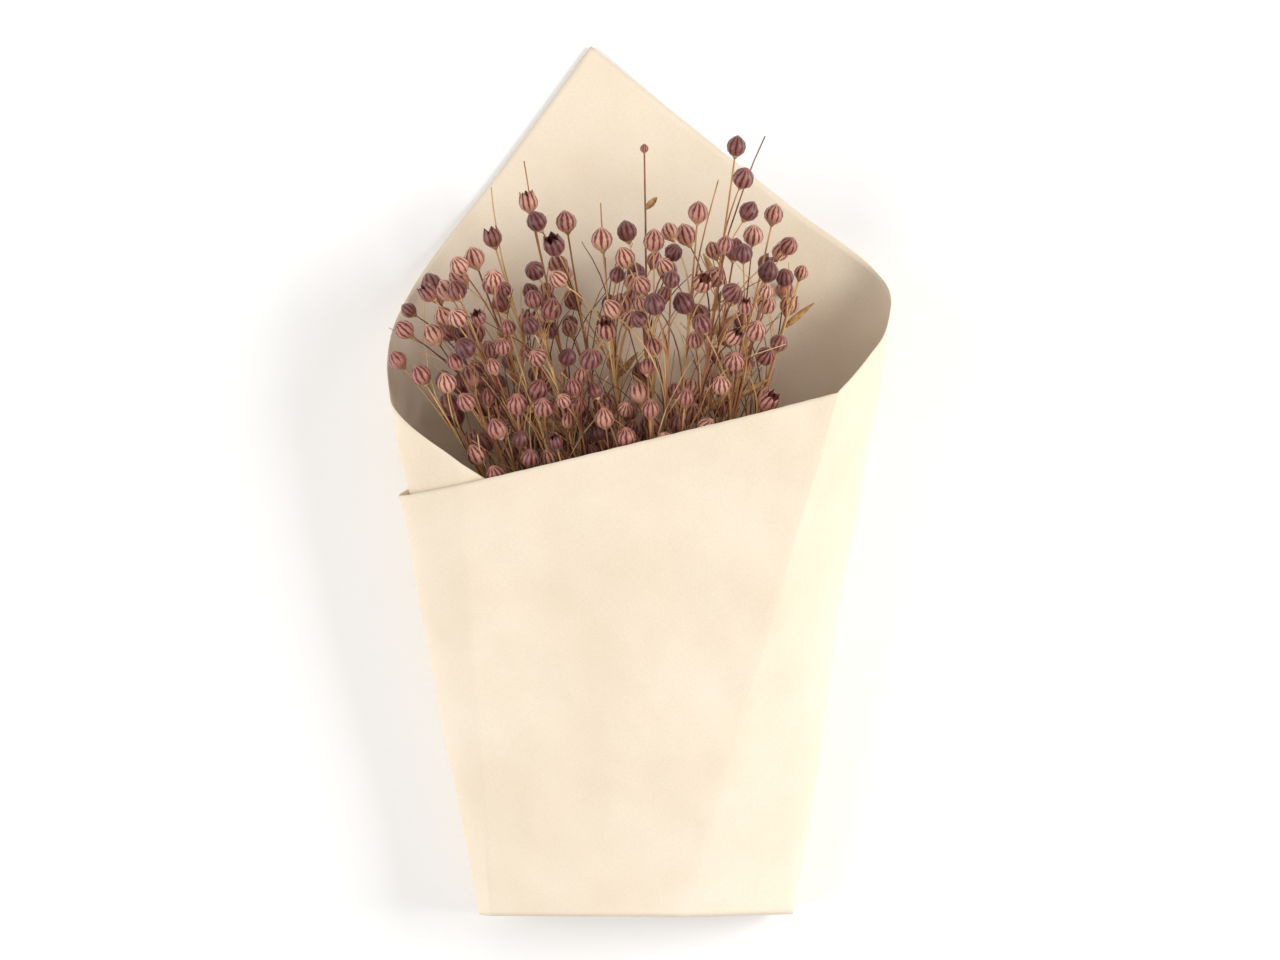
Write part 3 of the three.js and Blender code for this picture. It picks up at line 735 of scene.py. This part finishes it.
def make_capsule_material():
    material, tree, shader = new_material("Flax capsule", 0.42)
    coordinates = add_node(tree, "ShaderNodeTexCoord")
    where = coordinates.outputs["Object"]
    tone = add_node(tree, "ShaderNodeAttribute", attribute_name="tone").outputs["Fac"]
    uv = add_node(tree, "ShaderNodeSeparateXYZ", {"Vector": coordinates.outputs["UV"]}).outputs
    wander = use_group(tree, MOTTLE, {"Vector": where, "Scale": 420.0, "Contrast": 1.6})
    bent = maths(tree, "MULTIPLY", maths(tree, "SUBTRACT", wander.outputs[0], 0.5), 2.4)
    turns = maths(tree, "ADD", maths(tree, "MULTIPLY", uv["X"], STREAKS * 2 * math.pi), bent)
    wave = maths(tree, "ADD", maths(tree, "MULTIPLY", maths(tree, "COSINE", turns), 0.5), 0.5)
    fade = add_node(tree, "ShaderNodeMapRange", {
        "Value": uv["Y"], "From Min": 0.08, "From Max": 0.62, "To Min": 0.25, "To Max": 1.0})
    patches = use_group(tree, MOTTLE, {"Vector": where, "Scale": 150.0, "Contrast": 1.8})
    strength = maths(tree, "ADD", maths(tree, "MULTIPLY", wave, fade.outputs[0]),
                     maths(tree, "MULTIPLY", maths(tree, "SUBTRACT", patches.outputs[0], 0.5), 0.5))
    streak = add_node(tree, "ShaderNodeMapRange", {
        "Value": strength, "From Min": 0.4, "From Max": 0.66}, interpolation_type="SMOOTHSTEP")
    ground = ramp(tree, tone, [
        (0.0, colour(214, 160, 132)), (0.5, colour(176, 112, 96)), (1.0, colour(116, 60, 56))])
    dark = ramp(tree, tone, [
        (0.0, colour(116, 52, 48)), (0.5, colour(92, 36, 40)), (1.0, colour(66, 26, 32))])
    base = blend_colours(tree, streak.outputs[0], ground, dark)
    tree.links.new(base, shader.inputs["Base Color"])
    ribs = maths(tree, "ADD", maths(tree, "MULTIPLY", wave, -1.0), patches.outputs[0])
    bump = add_node(tree, "ShaderNodeBump", {"Strength": 0.4, "Distance": 0.0003, "Height": ribs})
    tree.links.new(bump.outputs[0], shader.inputs["Normal"])
    shader.inputs["Specular IOR Level"].default_value = 0.5
    shader.inputs["Sheen Weight"].default_value = 0.15
    return material


def make_husk_material():
    """The calyx under a capsule, the beaks' tips and the few dried leaves."""
    material, tree, shader = new_material("Dry husk", 0.7)
    where = add_node(tree, "ShaderNodeTexCoord").outputs["Object"]
    patches = use_group(tree, MOTTLE, {"Vector": where, "Scale": 260.0, "Contrast": 1.5})
    base = ramp(tree, patches.outputs[0], [
        (0.2, colour(128, 84, 56)), (0.5, colour(188, 144, 92)), (0.8, colour(222, 186, 132))])
    tree.links.new(base, shader.inputs["Base Color"])
    fibres = use_group(tree, FIBRES, {"Vector": where, "Scale": 1800.0, "Length": 8.0})
    bump = add_node(tree, "ShaderNodeBump", {
        "Strength": 0.4, "Distance": 0.0002, "Height": fibres.outputs[0]})
    tree.links.new(bump.outputs[0], shader.inputs["Normal"])
    return material


capsule_material = make_capsule_material()
husk_material = make_husk_material()
CAPSULE, HUSK = 1, 2
print("plant materials", [m.name for m in (stalk_material, capsule_material, husk_material)])

# %% [markdown]
# ## Drawing a stalk
#
# A stalk is a thin round rod that bends and tapers. A curve with a bevel would do, but its mesh
# has no place for `tone`. So the rod is **extruded**: a short cone starts it, and its end face
# is pulled from point to point, turned to the new direction and shrunk to the new radius. The
# turn is always the smallest one from the last direction, so the rod never twists.

# %% Stalks by extrusion
def draw_stalk(path, radii, sides, bm, tone_layer, tones):
    """Draws a closed rod through the points of a path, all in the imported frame."""
    ways = [(b - a).normalized() for a, b in zip(path, path[1:])]
    length = (path[1] - path[0]).length
    turn = Vector((0, 0, 1)).rotation_difference(ways[0])
    middle = (path[0] + path[1]) / 2
    made = bmesh.ops.create_cone(
        bm, cap_ends=True, cap_tris=False, segments=sides, radius1=radii[0], radius2=radii[1],
        depth=length, matrix=Matrix.Translation(middle) @ turn.to_matrix().to_4x4())
    for v in made["verts"]:
        at_start = (v.co - path[0]).dot(ways[0]) < length / 2
        v[tone_layer] = tones[0] if at_start else tones[1]
    end = max(
        {f for v in made["verts"] for f in v.link_faces},
        key=lambda f: f.calc_center_median().dot(ways[0]) if len(f.verts) == sides else -1e9)
    for i in range(2, len(path)):
        end = bmesh.ops.extrude_discrete_faces(bm, faces=[end])["faces"][0]
        bend = ways[i - 2].rotation_difference(ways[i - 1]).to_matrix().to_4x4()
        move = (Matrix.Translation(path[i]) @ bend @ Matrix.Scale(radii[i] / radii[i - 1], 4)
                @ Matrix.Translation(-path[i - 1]))
        bmesh.ops.transform(bm, matrix=move, verts=end.verts)
        for v in end.verts:
            v[tone_layer] = tones[i]


def taper(start, end, count):
    return [lerp(start, end, i / (count - 1)) for i in range(count)]


# %% [markdown]
# ## A seed capsule
#
# In the hand a capsule is a small sphere, a little taller than wide, with five soft lobes and a
# short sharp beak. It starts as a sphere of ten by six faces, few enough to be repeated for
# every head, with its UV map made at once. Its rings are then pushed to the pod's profile.
# Some pods have burst: their beak is gone and their top has split into a star of teeth.

# %% Capsules
POD_SIDES, POD_RINGS = 10, 6
POD_WIDTH = 1.05
LOBE = 0.96
BEAK = 0.2
BEAK_START = 0.5
BEAK_SLIM = 0.22
TOOTH_TIP, TOOTH_GAP = (0.7, 1.12), (0.74, 0.6)
WALL_SHARE = 0.07


def each_once(items):
    """Every item once, in the order met. A set would mix them differently at each run."""
    return list(dict.fromkeys(items))


def shape_pod(verts):
    """A unit sphere becomes a closed pod, its foot at -1 and its beak at 1 and a bit."""
    for v in verts:
        lobe = LOBE if round(math.atan2(v.co.y, v.co.x) / (2 * math.pi / POD_SIDES)) % 2 else 1.0
        beak = max(0.0, v.co.z - BEAK_START) * 2
        slim = 1 - BEAK_SLIM * beak
        v.co.x *= POD_WIDTH * lobe * slim
        v.co.y *= POD_WIDTH * lobe * slim
        v.co.z += BEAK * beak ** 3


def split_pod(bm, verts):
    """Takes the beak off and bends the rim into teeth."""
    top = max(verts, key=lambda v: v.co.z)
    rim = [e.other_vert(top) for e in top.link_edges]
    bmesh.ops.delete(bm, geom=[top], context="VERTS")
    for v in rim:
        tooth = round(math.atan2(v.co.y, v.co.x) / (2 * math.pi / POD_SIDES)) % 2
        out = Vector((v.co.x, v.co.y, 0)).normalized()
        width, height = TOOTH_TIP if tooth else TOOTH_GAP
        v.co = out * width + Vector((0, 0, height))
    kept = [v for v in verts if v.is_valid]
    faces = each_once(f for v in kept for f in v.link_faces)
    bmesh.ops.recalc_face_normals(bm, faces=faces)
    wall = bmesh.ops.solidify(bm, geom=faces, thickness=WALL_SHARE)["geom"]
    return each_once([*kept, *(g for g in wall if isinstance(g, bmesh.types.BMVert))])


def add_capsule(bm, tone_layer, head, tone, spin, burst):
    """A pod on the tip of its stalk, its axis along the stalk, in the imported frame."""
    size = head["radius"] * MM
    along = Vector(head["along"])
    centre = to_frame(head["tip"]) + along * size * CAPSULE_TALL
    turn = along.to_track_quat("Z", "Y") @ Quaternion((0, 0, 1), spin)
    place = Matrix.Translation(centre) @ turn.to_matrix().to_4x4()
    shape = place @ Matrix.Diagonal((size, size, size * CAPSULE_TALL, 1))
    verts = bmesh.ops.create_uvsphere(
        bm, u_segments=POD_SIDES, v_segments=POD_RINGS, radius=1, calc_uvs=True)["verts"]
    if burst:
        verts = split_pod(bm, verts)
    else:
        shape_pod(verts)
    bmesh.ops.transform(bm, matrix=shape, verts=verts)
    for v in verts:
        v[tone_layer] = tone
        for f in v.link_faces:
            f.material_index = CAPSULE
    return place


# %% [markdown]
# Under each pod sits the **calyx**, the dry remains of the flower's five small leaves. It is a
# low cone whose upper ring is pulled into five points that hug the pod. The ring between the
# points stays inside the pod, so the cone is closed and nobody sees its lid.

# %% Calyx
SEPAL_SIDES = 10
SEPAL_FOOT = 0.14
SEPAL_TIP, SEPAL_NOTCH = (0.93, 0.72), (0.4, 0.18)
CALYX_DROP = -1.08
CALYX_TONE = 0.4


def add_calyx(bm, tone_layer, place, size):
    verts = bmesh.ops.create_cone(
        bm, cap_ends=True, cap_tris=False, segments=SEPAL_SIDES, radius1=SEPAL_FOOT,
        radius2=0.5, depth=0.35)["verts"]
    for v in [v for v in verts if v.co.z > 0]:
        pointed = round(math.atan2(v.co.y, v.co.x) / (2 * math.pi / SEPAL_SIDES)) % 2
        out = Vector((v.co.x, v.co.y, 0)).normalized()
        width, height = SEPAL_TIP if pointed else SEPAL_NOTCH
        v.co = out * width + Vector((0, 0, height))
    shape = place @ Matrix.Diagonal((size, size, size, 1)) @ Matrix.Translation((0, 0, CALYX_DROP))
    bmesh.ops.transform(bm, matrix=shape, verts=verts)
    for v in verts:
        v[tone_layer] = CALYX_TONE
        for f in v.link_faces:
            f.material_index = HUSK


print("a pod has", POD_SIDES * POD_RINGS, "faces")

# %% [markdown]
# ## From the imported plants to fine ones
#
# Each plant is one piece, as it grew: its stem, its twigs, their heads and a few bare twiglets
# that have lost theirs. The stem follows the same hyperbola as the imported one, here in many
# short steps with a slight waver, because dried stalks are never quite straight.

# %% Paths of stems and twigs
STEM_STEP = 14.0
TWIG_STEPS = 7
WAVER = 0.55
WAVER_SEED = 20
STEM_FOOT, STEM_NECK, TWIG_FOOT, TWIG_NECK = 0.95, 0.42, 0.42, 0.28
TWIGLET_FOOT, TWIGLET_TIP = 0.32, 0.17
STEM_SIDES, TWIG_SIDES, TWIGLET_SIDES = 6, 5, 4


# Without a seed, noise_vector would start from the clock and bend the stalks anew at each run.
noise.seed_set(WAVER_SEED)


def wavered(points, seed, amount=WAVER):
    """Moves the inner points of a path a little, smoothly along it. Its ends stay."""
    last = len(points) - 1
    moved = []
    for i, p in enumerate(points):
        share = math.sqrt(max(0.0, math.sin(math.pi * i / last)))
        shift = noise.noise_vector(Vector((i * 0.45, seed * 3.7, 0.3)))
        moved.append(to_frame(p) + shift * (amount * share * MM))
    return moved


def fine_stem(plant):
    count = math.ceil((plant["top"] - STEM_END_Y) / STEM_STEP)
    heights = [lerp(STEM_END_Y, plant["top"], i / count) for i in range(count + 1)]
    return [stem_point(plant, y) for y in heights]


def fine_twig(plant, twig):
    """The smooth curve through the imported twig, from the fine stem at the same height."""
    root = stem_point(plant, twig["root"][1])
    points = []
    for i in range(TWIG_STEPS + 1):
        t = i / TWIG_STEPS
        points.append((1 - t) ** 2 * root + 2 * t * (1 - t) * twig["bend"] + t * t * twig["tip"])
    return points


# %% [markdown]
# Bare twiglets and a few shrivelled leaves fill the bunch. They are only millimetres thick and
# grow from points along the stems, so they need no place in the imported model. They are thrown
# by their own dice, and dropped where their tips would leave the paper.

# %% Twiglets and leaves
TWIGLETS = (14, 19)
TWIGLET_LENGTH = (18.0, 62.0)
TWIGLET_BELOW = (12, 130)
TWIGLET_AWAY = (0.15, 0.75)
LEAVES = (1, 3)
LEAF_LENGTH = (9.0, 17.0)
LEAF_WIDTH = 1.5
LEAF_THICKNESS = 0.12
TWIGLET_STEPS = 4

fine_dice = dice(411)


def side_of(along):
    turn = fine_dice(0, 2 * math.pi)
    side = np.cross([math.cos(turn), 0, math.sin(turn)], along)
    return side / np.linalg.norm(side)


def stem_way(plant, y):
    way = stem_point(plant, y + 1) - stem_point(plant, y)
    return way / np.linalg.norm(way)


def add_twiglet(bm, tone_layer, plant, number):
    y = plant["top"] - fine_dice(*TWIGLET_BELOW)
    length = fine_dice(*TWIGLET_LENGTH)
    root, way = stem_point(plant, y), stem_way(plant, y)
    side = side_of(way)
    tip = root + way * length * 0.9 + side * length * fine_dice(*TWIGLET_AWAY)
    bend = root + way * length * 0.5
    if not in_bunch(tip) or not inside_paper([[*tip, 0.3]]):
        return False
    points = []
    for i in range(TWIGLET_STEPS + 1):
        t = i / TWIGLET_STEPS
        points.append((1 - t) ** 2 * root + 2 * t * (1 - t) * bend + t * t * tip)
    radii = [r * MM for r in taper(TWIGLET_FOOT, TWIGLET_TIP, len(points))]
    tone = fine_dice(0.0, 1.0)
    draw_stalk(wavered(points, number), radii, TWIGLET_SIDES, bm, tone_layer, [tone] * len(points))
    return True


def add_leaf(bm, tone_layer, plant):
    """A narrow dry leaf, curled along its length, with a little thickness."""
    y = plant["top"] - fine_dice(20, 150)
    root, way = stem_point(plant, y), stem_way(plant, y)
    length = fine_dice(*LEAF_LENGTH)
    side = side_of(way)
    axis = Vector(way * 0.7 + side * 0.7).normalized()
    if not inside_paper([[*(root + np.array(axis) * length), 1.0]]):
        return False
    curl = fine_dice(-0.5, 0.9)
    verts = bmesh.ops.create_grid(bm, x_segments=1, y_segments=5, size=0.5)["verts"]
    for v in verts:
        t = v.co.y + 0.5
        v.co.x *= 2 * LEAF_WIDTH * (0.15 + math.sin(math.pi * t ** 0.8) * 0.85)
        v.co.y = length * t
        v.co.z = curl * length * t * t * 0.6
    turn = axis.to_track_quat("Y", "Z").to_matrix().to_4x4()
    place = Matrix.Translation(to_frame(root)) @ turn @ Matrix.Scale(MM, 4)
    bmesh.ops.transform(bm, matrix=place, verts=verts)
    faces = each_once(f for v in verts for f in v.link_faces)
    wall = bmesh.ops.solidify(bm, geom=faces, thickness=LEAF_THICKNESS * MM)["geom"]
    for f in [*faces, *(g for g in wall if isinstance(g, bmesh.types.BMFace))]:
        if f.is_valid:
            f.material_index = HUSK
    return True


# %% [markdown]
# ## The plants
#
# Now the parts come together, one bmesh for each plant. Stalks near the heads are darker than at
# their cut ends, and each plant and each pod gets its own tone, because no two have dried alike.

# %% Build each plant
BURST_SHARE = 0.13
DARK_SHARE = 0.3


def pod_tone():
    return fine_dice(0.65, 1.0) if fine_dice() < DARK_SHARE else fine_dice(0.0, 0.55)


def finish_piece(bm, name, materials, node):
    """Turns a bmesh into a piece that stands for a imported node."""
    mesh = bpy.data.meshes.new(name)
    for face in bm.faces:
        face.smooth = True
    bm.to_mesh(mesh)
    bm.free()
    piece = bpy.data.objects.new(name, mesh)
    bpy.context.scene.collection.objects.link(piece)
    for material in materials:
        mesh.materials.append(material)
    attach(piece, "root")
    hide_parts(node)
    return piece


def build_plant(plant, node):
    bm = bmesh.new()
    bm.loops.layers.uv.new("UVMap")
    tone_layer = bm.verts.layers.float.new("tone")
    number = plant["number"]
    dry = fine_dice(-0.18, 0.3)
    stem = fine_stem(plant)
    radii = [r * MM for r in taper(STEM_FOOT, STEM_NECK, len(stem))]
    tones = [min(max(0.1 + 0.45 * (i / len(stem)) ** 1.5 + dry, 0), 1) for i in range(len(stem))]
    draw_stalk(wavered(stem, number), radii, STEM_SIDES, bm, tone_layer, tones)
    for k, twig in enumerate(plant["twigs"]):
        path = fine_twig(plant, twig)
        radii = [r * MM for r in taper(TWIG_FOOT, TWIG_NECK, len(path))]
        tone = min(max(fine_dice(0.15, 0.85) + dry, 0), 1)
        draw_stalk(wavered(path, number + 60 * (k + 1)), radii, TWIG_SIDES, bm, tone_layer,
                 [tone] * len(path))
    for head in plant["heads"]:
        if head["radius"] > 0:
            burst = fine_dice() < BURST_SHARE
            place = add_capsule(bm, tone_layer, head, pod_tone(), fine_dice(0, 6.3), burst)
            add_calyx(bm, tone_layer, place, head["radius"] * MM)
    for k in range(math.floor(fine_dice(TWIGLETS[0], TWIGLETS[1] + 1))):
        add_twiglet(bm, tone_layer, plant, number + 500 + 60 * k)
    for _ in range(math.floor(fine_dice(LEAVES[0], LEAVES[1] + 1))):
        add_leaf(bm, tone_layer, plant)
    materials = (stalk_material, capsule_material, husk_material)
    return finish_piece(bm, f"{node}_fine", materials, node)


fine_plants = [build_plant(plant, node) for plant, node in zip(plants, plant_nodes)]
print(len(fine_plants), "plants,", sum(len(p.data.polygons) for p in fine_plants), "faces")

# %% [markdown]
# ## The rubber band
#
# A small band holds the stems inside the sleeve. It is a ring with rounded edges, stretched to
# the bunch's oval. A little rounded outline is **spun** once round the middle, and the ring is
# then squashed from a circle to the oval. Spinning gives a clean closed ring in one step.

# %% Rubber band
BAND_ROUND = 0.45
BAND_STEPS = 72


def make_rubber_material():
    material, tree, shader = new_material("Tan rubber", 0.55)
    where = add_node(tree, "ShaderNodeTexCoord").outputs["Object"]
    patches = use_group(tree, MOTTLE, {"Vector": where, "Scale": 180.0, "Contrast": 0.8})
    base = ramp(tree, patches.outputs[0], [
        (0.2, colour(164, 122, 74)), (0.8, colour(196, 152, 98))])
    tree.links.new(base, shader.inputs["Base Color"])
    fibres = use_group(tree, FIBRES, {"Vector": where, "Scale": 900.0, "Length": 1.0})
    bump = add_node(tree, "ShaderNodeBump", {
        "Strength": 0.25, "Distance": 0.0002, "Height": fibres.outputs[0]})
    tree.links.new(bump.outputs[0], shader.inputs["Normal"])
    return material


def build_band():
    bm = bmesh.new()
    outline = bmesh.ops.create_grid(bm, x_segments=1, y_segments=1, size=0.5)
    for v in outline["verts"]:
        v.co = Vector((1, v.co.y * BAND_WIDTH, v.co.x * BAND_THICKNESS))
    bmesh.ops.bevel(
        bm, geom=bm.verts[:], offset=BAND_ROUND, affect="VERTICES", segments=3, profile=0.5,
        material=-1)
    edges = [e for e in bm.edges if e.is_boundary]
    bmesh.ops.delete(bm, geom=bm.faces[:], context="FACES_ONLY")
    bmesh.ops.spin(
        bm, geom=edges, cent=(1, 0, -1), axis=(0, 1, 0), angle=2 * math.pi, steps=BAND_STEPS,
        use_merge=True)
    for v in bm.verts:
        away = Vector((v.co.x - 1, 0, v.co.z + 1))
        grow = away.length - 1 + BAND_THICKNESS / 2
        way = away.normalized()
        v.co = to_frame((
            TIE_X + way.x * (BAND_X + grow), TIE_Y + v.co.y, TIE_Z + way.z * (BAND_Z + grow)))
    bmesh.ops.recalc_face_normals(bm, faces=bm.faces)
    return finish_piece(bm, "rubber_band", [make_rubber_material()], "stem_band")


band = build_band()
print("band", len(band.data.polygons), "faces", [round(v, 4) for v in band.dimensions])

# %% [markdown]
# ## The kraft paper
#
# The sheet is thin, crisp and a little tired from being rolled. A cloth simulation could make it
# limp, but paper hardly sags: it keeps the cornet's shape and shows soft dents, a few creases
# and edges that waver by a millimetre. So a flat **grid** is laid on the cornet: its columns are
# the paper's rulings, spaced evenly round the sheet, and its rows run from the trimmed end to
# the sheet's own edges. Its UV map is the unrolled sheet, so the fibres follow the paper.

# %% Lay a grid on the cornet
SHEET_COLUMNS, SHEET_ROWS = 300, 96
SHEET_WALL = 0.32
DENT = 1.5
DENT_SIZE = 46.0
RIPPLE = 0.35
RIPPLE_SIZE = 15.0
EDGE_WAVER = 0.9
LIES_FLAT = 9.0
UV_SIZE = 600.0

# The rulings, evenly spaced over the flat sheet.
fine_places = np.linspace(SHEET_START, SHEET_END, 1600)
rays = mouth_ray(fine_places)
rays /= np.linalg.norm(rays, axis=1, keepdims=True)
turned = np.concatenate([[0], np.cumsum(np.arccos(np.clip((rays[1:] * rays[:-1]).sum(1), -1, 1)))])
columns = np.interp(np.linspace(0, turned[-1], SHEET_COLUMNS), turned, fine_places)
column_angles = np.linspace(0, turned[-1], SHEET_COLUMNS)
column_reach = np.array([reach(p) for p in columns])
column_ray = np.linalg.norm(mouth_ray(columns), axis=1)


def dent(p, height, to_edge):
    """How far the paper is pushed in or out at a point, in millimetres."""
    q = Vector((p[0], p[1], p[2]))
    soft = noise.noise(q / DENT_SIZE) + 0.5 * noise.noise(q / (DENT_SIZE * 0.45) + Vector((9, 0, 0)))
    crisp = 1 - abs(noise.noise(q / RIPPLE_SIZE + Vector((0, 40, 0)))) * 2
    free = math.exp(-to_edge / 14)
    flutter = noise.noise(q / 24 + Vector((0, 0, 70))) * EDGE_WAVER * free
    lifted = min(max(height / LIES_FLAT, 0), 1)
    return lifted * (DENT * soft + RIPPLE * crisp * (0.4 + max(0, soft)) + flutter)


def sheet_grid():
    bm = bmesh.new()
    uv = bm.loops.layers.uv.new("UVMap")
    bmesh.ops.create_grid(
        bm, x_segments=SHEET_COLUMNS - 1, y_segments=SHEET_ROWS - 1, size=0.5, calc_uvs=True)
    bm.verts.ensure_lookup_table()
    i = np.array([round((v.co.x + 0.5) * (SHEET_COLUMNS - 1)) for v in bm.verts])
    j = np.array([round((v.co.y + 0.5) * (SHEET_ROWS - 1)) for v in bm.verts])
    place = columns[i]
    y = lerp(column_reach[i, 0], column_reach[i, 1], j / (SHEET_ROWS - 1))
    outer = on_section(place, y)
    inward = inwards(place, y)
    ray = column_ray[i] * (y - APEX[1]) / (MOUTH_Y - APEX[1])
    to_edge = (column_reach[i, 1] - y)
    depth = inset(place) + PAPER / 2
    for n, v in enumerate(bm.verts):
        push = dent((outer[n, 0], y[n], outer[n, 1]), outer[n, 1], to_edge[n])
        x, z = outer[n] + inward[n] * (depth[n] - push)
        v.co = to_frame((x, y[n], max(z, PAPER / 2)))
    for face in bm.faces:
        for loop in face.loops:
            n = loop.vert.index
            angle = column_angles[i[n]]
            loop[uv].uv = (ray[n] * math.sin(angle) / UV_SIZE, ray[n] * math.cos(angle) / UV_SIZE)
    return bm


# %% [markdown]
# The paper's finish has four layers, from broad to fine: soft patches where it is a little
# yellower, faint lines from the paper machine, a mesh of fibres with a few darker specks, and
# low wrinkles in the bump only. Both faces are the same raw kraft.

# %% Paper material
def make_paper_material():
    material, tree, shader = new_material("Cream kraft paper", 0.78)
    coordinates = add_node(tree, "ShaderNodeTexCoord")
    where, flat = coordinates.outputs["Object"], coordinates.outputs["UV"]
    patches = use_group(tree, MOTTLE, {"Vector": where, "Scale": 16.0, "Contrast": 1.3})
    base = ramp(tree, patches.outputs[0], [
        (0.15, colour(234, 217, 192)), (0.5, colour(240, 225, 203)), (0.85, colour(245, 232, 213))])
    fibres = use_group(tree, FIBRES, {"Vector": flat, "Scale": 1100.0, "Length": 2.2})
    lines = use_group(tree, FIBRES, {"Vector": flat, "Scale": 420.0, "Length": 9.0})
    grain = maths(tree, "ADD", maths(tree, "MULTIPLY", fibres.outputs[0], 0.8),
                  maths(tree, "MULTIPLY", lines.outputs[0], 0.2))
    shade = add_node(tree, "ShaderNodeMapRange", {
        "Value": grain, "From Min": 0.35, "From Max": 0.65, "To Min": 0.95, "To Max": 1.03})
    shades = add_node(tree, "ShaderNodeCombineColor", {
        "Red": shade.outputs[0], "Green": shade.outputs[0], "Blue": shade.outputs[0]})
    toned = blend_colours(tree, 1.0, base, shades.outputs[0], "MULTIPLY")
    specks = add_node(tree, "ShaderNodeTexVoronoi", {"Vector": flat, "Scale": 330.0})
    speck = maths(tree, "LESS_THAN", specks.outputs["Distance"], 0.07)
    few = maths(tree, "GREATER_THAN", patches.outputs[0], 0.56)
    marked = blend_colours(
        tree, maths(tree, "MULTIPLY", maths(tree, "MULTIPLY", speck, few), 0.35),
        toned, colour(168, 124, 80))
    tree.links.new(marked, shader.inputs["Base Color"])
    wrinkles = use_group(tree, MOTTLE, {"Vector": where, "Scale": 70.0, "Contrast": 1.5})
    height = maths(tree, "ADD", maths(tree, "MULTIPLY", grain, 0.25), wrinkles.outputs[0])
    bump = add_node(tree, "ShaderNodeBump", {"Strength": 0.22, "Distance": 0.0009, "Height": height})
    tree.links.new(bump.outputs[0], shader.inputs["Normal"])
    shader.inputs["Specular IOR Level"].default_value = 0.3
    return material


# %% [markdown]
# The grid becomes the piece, and **Solidify** gives it the paper's thickness on both sides of
# the middle. Its flat size is the sheet as it was cut, before it was rolled.

# %% Build the sheet
bm = sheet_grid()
flat_area = sum(face.calc_area() for face in bm.faces)
bmesh.ops.recalc_face_normals(bm, faces=bm.faces)
sheet = finish_piece(bm, "kraft_sheet", [make_paper_material()], "paper_wrap")
thickness = sheet.modifiers.new("Paper thickness", "SOLIDIFY")
thickness.thickness = SHEET_WALL * MM
thickness.offset = 0
print("the sheet has", len(sheet.data.polygons), "faces and", round(flat_area, 4), "square metres")

# %% [markdown]
# ## Table, light and camera
#
# The bundle lies on a plain pale table under soft studio light. The main light is a large panel
# high on the right, so the right shoulder of the paper is bright and the middle of its front
# falls into a soft shade. A weaker panel from the left and a pale surround fill the rest.

# %% Table
FLOOR_SIZE = 4.0
FLOOR_GAP = 0.0003


def build_floor():
    bm = bmesh.new()
    bmesh.ops.create_grid(bm, x_segments=1, y_segments=1, size=FLOOR_SIZE / 2)
    bmesh.ops.translate(bm, vec=(0, 0, -FLOOR_GAP), verts=bm.verts)
    mesh = bpy.data.meshes.new("floor")
    bm.to_mesh(mesh)
    bm.free()
    floor = bpy.data.objects.new("floor", mesh)
    bpy.context.scene.collection.objects.link(floor)
    material, _, shader = new_material("Pale table", 0.9)
    shader.inputs["Base Color"].default_value = (0.98, 0.98, 0.98, 1)
    shader.inputs["Specular IOR Level"].default_value = 0.1
    mesh.materials.append(material)
    return floor


floor = build_floor()

# %% [markdown]
# One function makes both panels. A panel is turned to face the bundle by pointing its own -Z at
# it, which saves working out two angles for each.

# %% Lights
def panel(name, where, size, power, tint):
    """A square soft panel that faces the bundle."""
    light = bpy.data.lights.new(name, "AREA")
    light.size, light.energy, light.color = size, power, tint
    lamp = bpy.data.objects.new(name, light)
    lamp.location = where
    lamp.rotation_euler = (Vector((0, 0, 0.03)) - Vector(where)).to_track_quat("-Z", "Y").to_euler()
    bpy.context.scene.collection.objects.link(lamp)
    return lamp


panel("key_panel", (1.5, 0.3, 1.0), 0.9, 22.5, (1.0, 0.985, 0.96))
panel("fill_panel", (-1.3, -0.2, 1.0), 1.2, 13.0, (1.0, 0.99, 0.98))
world = bpy.data.worlds.new("Pale studio")
world.use_nodes = True
world.node_tree.nodes["Background"].inputs["Color"].default_value = (1.0, 0.99, 0.975, 1)
world.node_tree.nodes["Background"].inputs["Strength"].default_value = 0.58
bpy.context.scene.world = world
bpy.context.scene.view_settings.view_transform = "Standard"

# %% [markdown]
# The camera looks down on the bundle, tilted a little towards its foot. A long lens from far off
# keeps the sleeve's two sides from spreading.

# %% Camera
CAMERA_DISTANCE = 1.4
CAMERA_TILT = math.radians(7.63)
CAMERA_TARGET = Vector((0.0001, 0.0078, 0.035))
CAMERA_LENS = 91.57

camera_data = bpy.data.cameras.new("Camera")
camera_data.lens, camera_data.sensor_width = CAMERA_LENS, 36.0
camera = bpy.data.objects.new("Camera", camera_data)
camera.location = CAMERA_TARGET + Vector((0, math.sin(CAMERA_TILT), math.cos(CAMERA_TILT))) * CAMERA_DISTANCE
camera.rotation_euler = (-CAMERA_TILT, 0, 0)
bpy.context.scene.collection.objects.link(camera)
bpy.context.scene.camera = camera
print("camera at", [round(v, 3) for v in camera.location])
